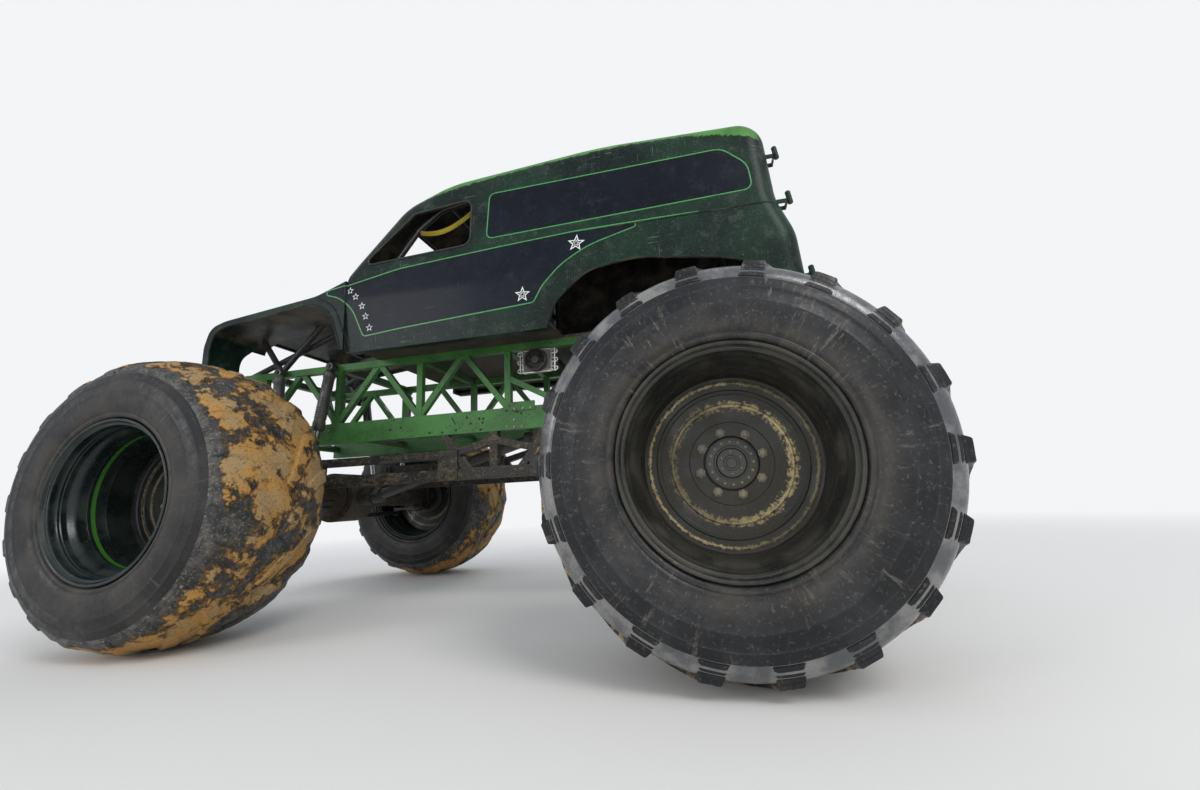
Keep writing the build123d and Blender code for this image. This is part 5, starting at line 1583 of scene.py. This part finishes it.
def pillow(length, width, thick, channels, seed, steps=26):  # lies on z = 0, crowned, sides drawn in
    points, faces = [], []
    count = steps + 1
    for skin in (0, 1):
        for i in range(count):
            for k in range(count):
                u, v = 2 * i / steps - 1, 2 * k / steps - 1
                u2, v2 = sin(u * pi / 2), sin(v * pi / 2)
                x = u2 * length / 2 * (1 - 0.030 * (1 - v2 * v2))
                y = v2 * width / 2 * (1 - 0.045 * (1 - u2 * u2))
                crown = ((1 - abs(u2) ** 3.2) * (1 - abs(v2) ** 3.2)) ** 0.55
                z = thick * (0.30 + 0.70 * crown) if skin else thick * 0.30 * (1 - crown)
                if skin and channels:
                    for c in range(1, channels):
                        away = abs(u2 - (2 * c / channels - 1)) * length / 2
                        z -= 0.008 * crown * exp(-(away / 0.006) ** 2)
                    z += 0.0022 * crown * noise.noise(Vector((x * 16, y * 16, seed)))
                points.append((x, y, z))
    size = count * count
    for i in range(steps):
        for k in range(steps):
            a = i * count + k
            faces.append((a, a + count, a + count + 1, a + 1)[::-1])
            faces.append((size + a, size + a + count, size + a + count + 1, size + a + 1))
    # both skins share their rim
    rim = {size + i * count + k: i * count + k for i in range(count) for k in range(count)
           if i in (0, steps) or k in (0, steps)}
    faces = [tuple(rim.get(n, n) for n in face) for face in faces]
    return loosen((points, faces))


def makeSeats():
    s = seatShape
    shell, frameTubes = Build(), Build()
    line = evenly(filletLoop(s["line"], False, 8), 0.03, False)
    for side in (1, -1):
        # a bent sheet with turned-up wings, closed all round
        half = [(1.0, 1.0), (0.97, 0.55), (0.90, 0.16), (0.80, 0.0), (0.4, 0.0)]
        shares = [(-across, rise) for across, rise in half] + [(0, 0.0)] + half[::-1]
        points, faces = [], []
        rows = len(line)
        for skin in (0, 1):
            for i, here in enumerate(line):
                before, after = beside(line, i)
                way = (after - before).normalized()
                normal = Vector((-way.y, way.x)) * -1
                wing = s["wing"] * (0.55 + 0.45 * sin(pi * min(1, i / (rows - 1) * 1.1)))
                narrow = 1 - 0.12 * max(0, (i / (rows - 1) - 0.7) / 0.3)
                for across, rise in shares:
                    lift = rise * wing + (s["shellThickness"] if skin else 0)
                    spot = here + normal * lift
                    points.append((spot.x, side * s["y"] + across * narrow * (s["halfWidth"] - 0.004 * skin),
                                   spot.y))
        wide = len(shares)
        layer = rows * wide
        for i in range(rows - 1):
            for k in range(wide - 1):
                a = i * wide + k
                faces.append((a, a + 1, a + wide + 1, a + wide))
                faces.append((layer + a, layer + a + wide, layer + a + wide + 1, layer + a + 1))
            for k in (0, wide - 1):
                a = i * wide + k
                face = (a, a + wide, layer + a + wide, layer + a)
                faces.append(face if k == 0 else face[::-1])
        for i in (0, rows - 1):
            for k in range(wide - 1):
                a = i * wide + k
                face = (a, a + 1, layer + a + 1, layer + a)
                faces.append(face[::-1] if i == 0 else face)
        shell.add((points, faces))
        for edge in (-0.14, 0.14):
            y = side * s["y"] + edge
            for end in (0.16, 0.42):
                frameTubes.add(tube([(end, y, 1.9205), (end, y, 1.96), (end, y, 1.996)], 0.014, 12))
            frameTubes.add(tube([(0.12, y, 1.934), (0.29, y, 1.934), (0.46, y, 1.934)], 0.0135, 12))
    shell.make("seat_shells", [shellBlack], "seat_black", 60, ["seats"])
    frameTubes.make("seat_feet", [tubeBlack], "cage_black", 50)
    for sideName, side in bothSides:
        y = side * s["y"]
        for name, length, width, thick, channels, x, z, degrees in s["pads"]:
            place = shifted((x, y, z)) @ turned(degrees, "Y")
            build = Build()
            build.add(pillow(length, width, thick, channels, side * 3 + length), 0, place)
            edge = roundedLoop(length / 2, width / 2, 0.02, 0.02)
            piping = [(p.x * (1 - 0.03 * (1 - (2 * p.y / width) ** 2)),
                       p.y * (1 - 0.045 * (1 - (2 * p.x / length) ** 2)), thick * 0.30) for p in edge]
            build.add(tube(piping, 0.0032, 8, True), 0, place)
            pad = build.make(name + sideName, [seatCloth], "seat_black", 60)


def ribbon(path, width, thick, across=(0, 1, 0)):  # a flat strap with rounded edges
    path = [Vector(p) for p in path]
    across = Vector(across).normalized()
    points = []
    ring = [(-1, -0.5), (-0.94, -1), (0.94, -1), (1, -0.5), (1, 0.5), (0.94, 1), (-0.94, 1), (-1, 0.5)]
    for i, here in enumerate(path):
        before, after = beside(path, i)
        up = (after - before).normalized().cross(across).normalized()
        points += [here + across * a * width / 2 + up * b * thick / 2 for a, b in ring]
    ends = [tuple(range(8)), tuple(range((len(path) - 1) * 8, len(path) * 8))[::-1]]
    return points, ringFaces(len(path), 8, False, False) + ends


shoulderLine = [  # x, share of the belts' spacing and z: from the tube behind the seat down to the buckle
    (-0.160, 1, 2.476), (-0.184, 1, 2.500), (-0.160, 1, 2.524), (-0.080, 1, 2.566), (-0.001, 1, 2.606),
    (0.045, 1, 2.612), (0.075, 1, 2.585), (0.088, 1, 2.50), (0.112, 0.85, 2.32), (0.150, 0.65, 2.17),
    (0.210, 0.4, 2.112), (0.285, 0.22, 2.102)]


def makeHarness():
    belts, metal = Build(), Build()
    for side in (1, -1):
        y = side * seatShape["y"]
        for edge in (-0.075, 0.075):
            path = [(x, y + edge * share, z) for x, share, z in shoulderLine]
            belts.add(ribbon(smoothPath(path), 0.050, 0.003))
        for edge in (-1, 1):
            path = [(0.15, y + edge * 0.215, 2.040), (0.19, y + edge * 0.195, 2.084),
                    (0.235, y + edge * 0.13, 2.098), (0.29, y + edge * 0.04, 2.100)]
            belts.add(ribbon(smoothPath(path), 0.050, 0.003, (0.8, 0, -0.25)))
        buckle = [(0, 0.034), (0.004, 0.037), (0.014, 0.036), (0.018, 0.028), (0.019, 0.001)]
        metal.spun(buckle, (0.300, y, 2.095), (0.1, 0, 1))
        for edge in (-0.075, 0.075):
            metal.add(bevelBox((0.012, 0.062, 0.05), 0.003), 0,
                      shifted((0.090, y + edge, 2.50)) @ turned(-7.6, "Y"))
    # the belt tied up along the window's top, on the driver's side
    sling = [(-0.128, 0.668, 3.028), (-0.08, 0.672, 3.006), (0.066, 0.672, 2.938), (0.165, 0.672, 2.876),
             (0.262, 0.674, 2.829), (0.36, 0.676, 2.808), (0.45, 0.681, 2.812), (0.507, 0.688, 2.824)]
    belts.add(ribbon(smoothPath(sling), 0.036, 0.004, (0, 0.55, 0.83)))
    for centre, lean in (((-0.128, 0.681, 3.055), (0, 0, 1)), ((0.528, 0.690, 2.840), (0.779, 0, 0.627))):
        ring = [Vector(centre) + Vector((0, a, 0)) + Vector(lean) * b for _, a, b in circle(20, 0.0268)]
        metal.add(tube(ring, 0.003, 8, True))
    belts.make("harness_belts", [beltYellow], "seat_black", 60)
    metal.make("harness_buckles", [boltZinc], "axle_steel", 40)


makeSeats()
makeHarness()
print("seats and harness made")

wheelShape = {"place": (0.600, 0.380, 2.350), "leanDegrees": 62.0, "radius": 0.180, "grip": 0.0150}
gripRubber = dirty("wheelGrip", (0.014, 0.014, 0.014), (0.024, 0.023, 0.022), 0.2, 0.25, 0.62)
gaugeFace = mottled("gaugeFace", (0.018, 0.018, 0.019), (0.03, 0.03, 0.03), 0.4, (60, 3, 0.5), 0.4, 0.7)
gaugeMark = mottled("gaugeMark", (0.7, 0.7, 0.66), (0.45, 0.44, 0.40), 0.5, (80, 3, 0.5), 0.5, 0.7)
dashPaint = dirty("dashPanel", (0.022, 0.022, 0.023), (0.035, 0.035, 0.035), 0.2, 0.35, 0.5)


def makeSteeringWheel():
    w = wheelShape
    build = Build()
    place = shifted(w["place"]) @ turned(-w["leanDegrees"], "Y")
    ring, radii = [], []
    for angle, a, b in circle(120, w["radius"]):
        ring.append((a, b, 0))
        radii.append(w["grip"] - 0.0012 * (0.5 + 0.5 * cos(angle * 24)))
    build.add(tube(ring, radii, 16, True), 0, place)
    for turn in (0, 120, 240):
        spin = place @ turned(turn, "Z")
        spoke = bevelBox((0.145, 0.026, 0.007), 0.002)
        build.add(spoke, 1, spin @ shifted((0.0975, 0, 0)))
        # lightening holes in the spokes, near-black as painted shade
        for at in (0.065, 0.095, 0.125):
            for way in (1, -1):
                build.add(hole((at, 0, way * 0.0034), (0, 0, way), 0.007), 2, spin)
    hub = [(-0.014, 0.031), (-0.008, 0.032), (0.008, 0.032), (0.0125, 0.029), (0.0145, 0.020),
           (0.0145, 0.001)]
    build.add(along(hub, (0, 0, 0), (0, 0, 1), 32), 1, place)
    for _, a, b in circle(6, 0.024, 0.5):
        build.add(boltHead(0.0035, 0.003, 6, 1), 2, place @ shifted((a, b, 0.0125)))
    column = [(0.0, 0.018), (0.03, 0.020), (0.05, 0.020), (0.055, 0.0165), (0.17, 0.0165), (0.175, 0.020),
              (0.2495, 0.020), (0.2495, 0.001)]
    build.spun(column, w["place"], (1, 0, 0), 24, 1)
    build.make("steering_wheel_grip", [gripRubber, boltDark, holeShadeAndDarkBolts], "cage_black", 40, ["steering_wheel"])


def makeDash():
    low, _, middle, size = nodeBox("dash")
    panel, dials = Build(), Build()
    panel.box(tuple(size), 0.008, 3, middle)
    for y in (0.18, 0.27, 0.36, 0.45, 0.54, -0.10, -0.20):
        at = Vector((low.x + 0.001, y, middle.z + 0.008))
        radius = 0.036 if y > 0 else 0.028
        bezel = [(-0.0005, radius), (0.0, radius + 0.001), (0.0006, radius - 0.001)]
        dials.spun(bezel, at, (-1, 0, 0), 36, 1)
        face = [(at.x - 0.0004, at.y + a, at.z + b) for _, a, b in circle(36, radius - 0.002)]
        dials.add((face, [tuple(range(36))]))
        for k in range(9):
            angle = radians(-120 + 30 * k) + pi / 2
            a = Vector((0, cos(angle), sin(angle)))
            raised = at - Vector((0.0006, 0, 0))
            dials.add(tube([raised + a * (radius * 0.70), raised + a * (radius * 0.88)], 0.0009, 4), 2)
        needle = Vector((0, cos(2.3 + y), sin(2.3 + y)))
        raised = at - Vector((0.0008, 0, 0))
        dials.add(tube([raised, raised + needle * radius * 0.7], 0.001, 4), 2)
    for k in range(6):
        switch = [(0, 0.008), (0.0035, 0.008), (0.0038, 0.004), (0.0039, 0.001)]
        dials.spun(switch, (low.x + 0.004, -0.32 - 0.045 * k, middle.z), (-1, 0, 0), 16, 1)
    panel.make("dash_panel", [dashPaint], "floor_metal", 40, ["dash"])
    dials.make("dash_dials", [gaugeFace, boltZinc, gaugeMark], "axle_steel", 40)


makeSteeringWheel()
makeDash()
print("steering wheel and dash made")


# Floor, studio light and the camera at the photograph's place
stageLook = {
    "floorColour": (0.80, 0.79, 0.77),
    "floorSize": 60,
    "worldColour": (0.86, 0.90, 0.96),
    "worldStrength": 0.74,
    "backdrop": (0.90, 0.91, 0.93),
    "fade": (4.5, 13.0),
    # name, place, aim, size, power, colour
    "lamps": [("keyLamp", (-7.5, 8.0, 9.0), (0, 0, 1.6), 5.0, 640, (1.0, 0.985, 0.96)),
              ("sideLamp", (6.5, 9.5, 4.0), (0.4, 0, 1.4), 4.0, 260, (0.96, 0.98, 1.0)),
              ("lowLamp", (-1.0, 8.5, 1.2), (0, 0, 1.2), 3.5, 90, (1.0, 0.97, 0.93)),
              ("farLamp", (0.5, -9.0, 7.0), (0, 0, 1.6), 5.0, 210, (0.97, 0.98, 1.0))],
}


def paleWhere(tree, share, near, pale, outputName):  # the pale backdrop takes over by this share
    mixer = tree.nodes.new("ShaderNodeMixShader")
    pale.inputs[0].default_value = (*stageLook["backdrop"], 1)
    for socket, part in enumerate((share, near, pale.outputs[0])):
        tree.links.new(part, mixer.inputs[socket])
    tree.links.new(mixer.outputs[0], tree.nodes[outputName].inputs[0])


f = Finish("floorPaint", stageLook["floorColour"], 0.9, 0.0, Specular_IOR_Level=0.1)
f.rough(f.spots(3, 4, 0.6, 0.3, 0.7, 0.85, 0.95))
toCamera = f.put("LightPath").outputs["Is Camera Ray"]  # far from the truck the floor turns pale
farShare = f.times(f.band(fromAxis(f, "X", "Y"), *stageLook["fade"]), toCamera)
paleWhere(f.tree, farShare, f.shader.outputs[0], f.put("Emission"), "Material Output")
half = stageLook["floorSize"] / 2
floorMesh = bpy.data.meshes.new("studio_floor")
floorMesh.from_pydata([(-half, -half, 0), (half, -half, 0), (half, half, 0), (-half, half, 0)], [],
                      [(0, 1, 2, 3)])
floorMesh.materials.append(f.material)
studioFloor = bpy.data.objects.new("studio_floor", floorMesh)
bpy.context.scene.collection.objects.link(studioFloor)

world = bpy.data.worlds.new("studio")
bpy.context.scene.world = world
world.use_nodes = True
tree = world.node_tree
background = tree.nodes["Background"]
background.inputs[0].default_value = (*stageLook["worldColour"], 1)
background.inputs[1].default_value = stageLook["worldStrength"]
toCamera = tree.nodes.new("ShaderNodeLightPath").outputs["Is Camera Ray"]
paleWhere(tree, toCamera, background.outputs[0], tree.nodes.new("ShaderNodeBackground"), "World Output")

for name, place, aim, size, power, colour in stageLook["lamps"]:
    data = bpy.data.lights.new(name, "AREA")
    data.size = size
    data.energy = power
    data.color = colour
    lamp = bpy.data.objects.new(name, data)
    lamp.location = place
    lamp.rotation_euler = (Vector(aim) - Vector(place)).to_track_quat("-Z", "Y").to_euler()
    bpy.context.scene.collection.objects.link(lamp)

view = {"place": (-1.5693, 3.8921, 0.7121), "turnDegrees": (101.78317, 2.78635, -167.01751),
        "lens": 15.031, "sensor": 36}
cameraData = bpy.data.cameras.new("photoView")
cameraData.lens = view["lens"]
cameraData.sensor_width = view["sensor"]
camera = bpy.data.objects.new("photoView", cameraData)
camera.location = view["place"]
camera.rotation_euler = Euler([radians(a) for a in view["turnDegrees"]])
bpy.context.scene.collection.objects.link(camera)
bpy.context.scene.camera = camera
bpy.context.scene.view_settings.view_transform = "Standard"
print("stage and camera set")
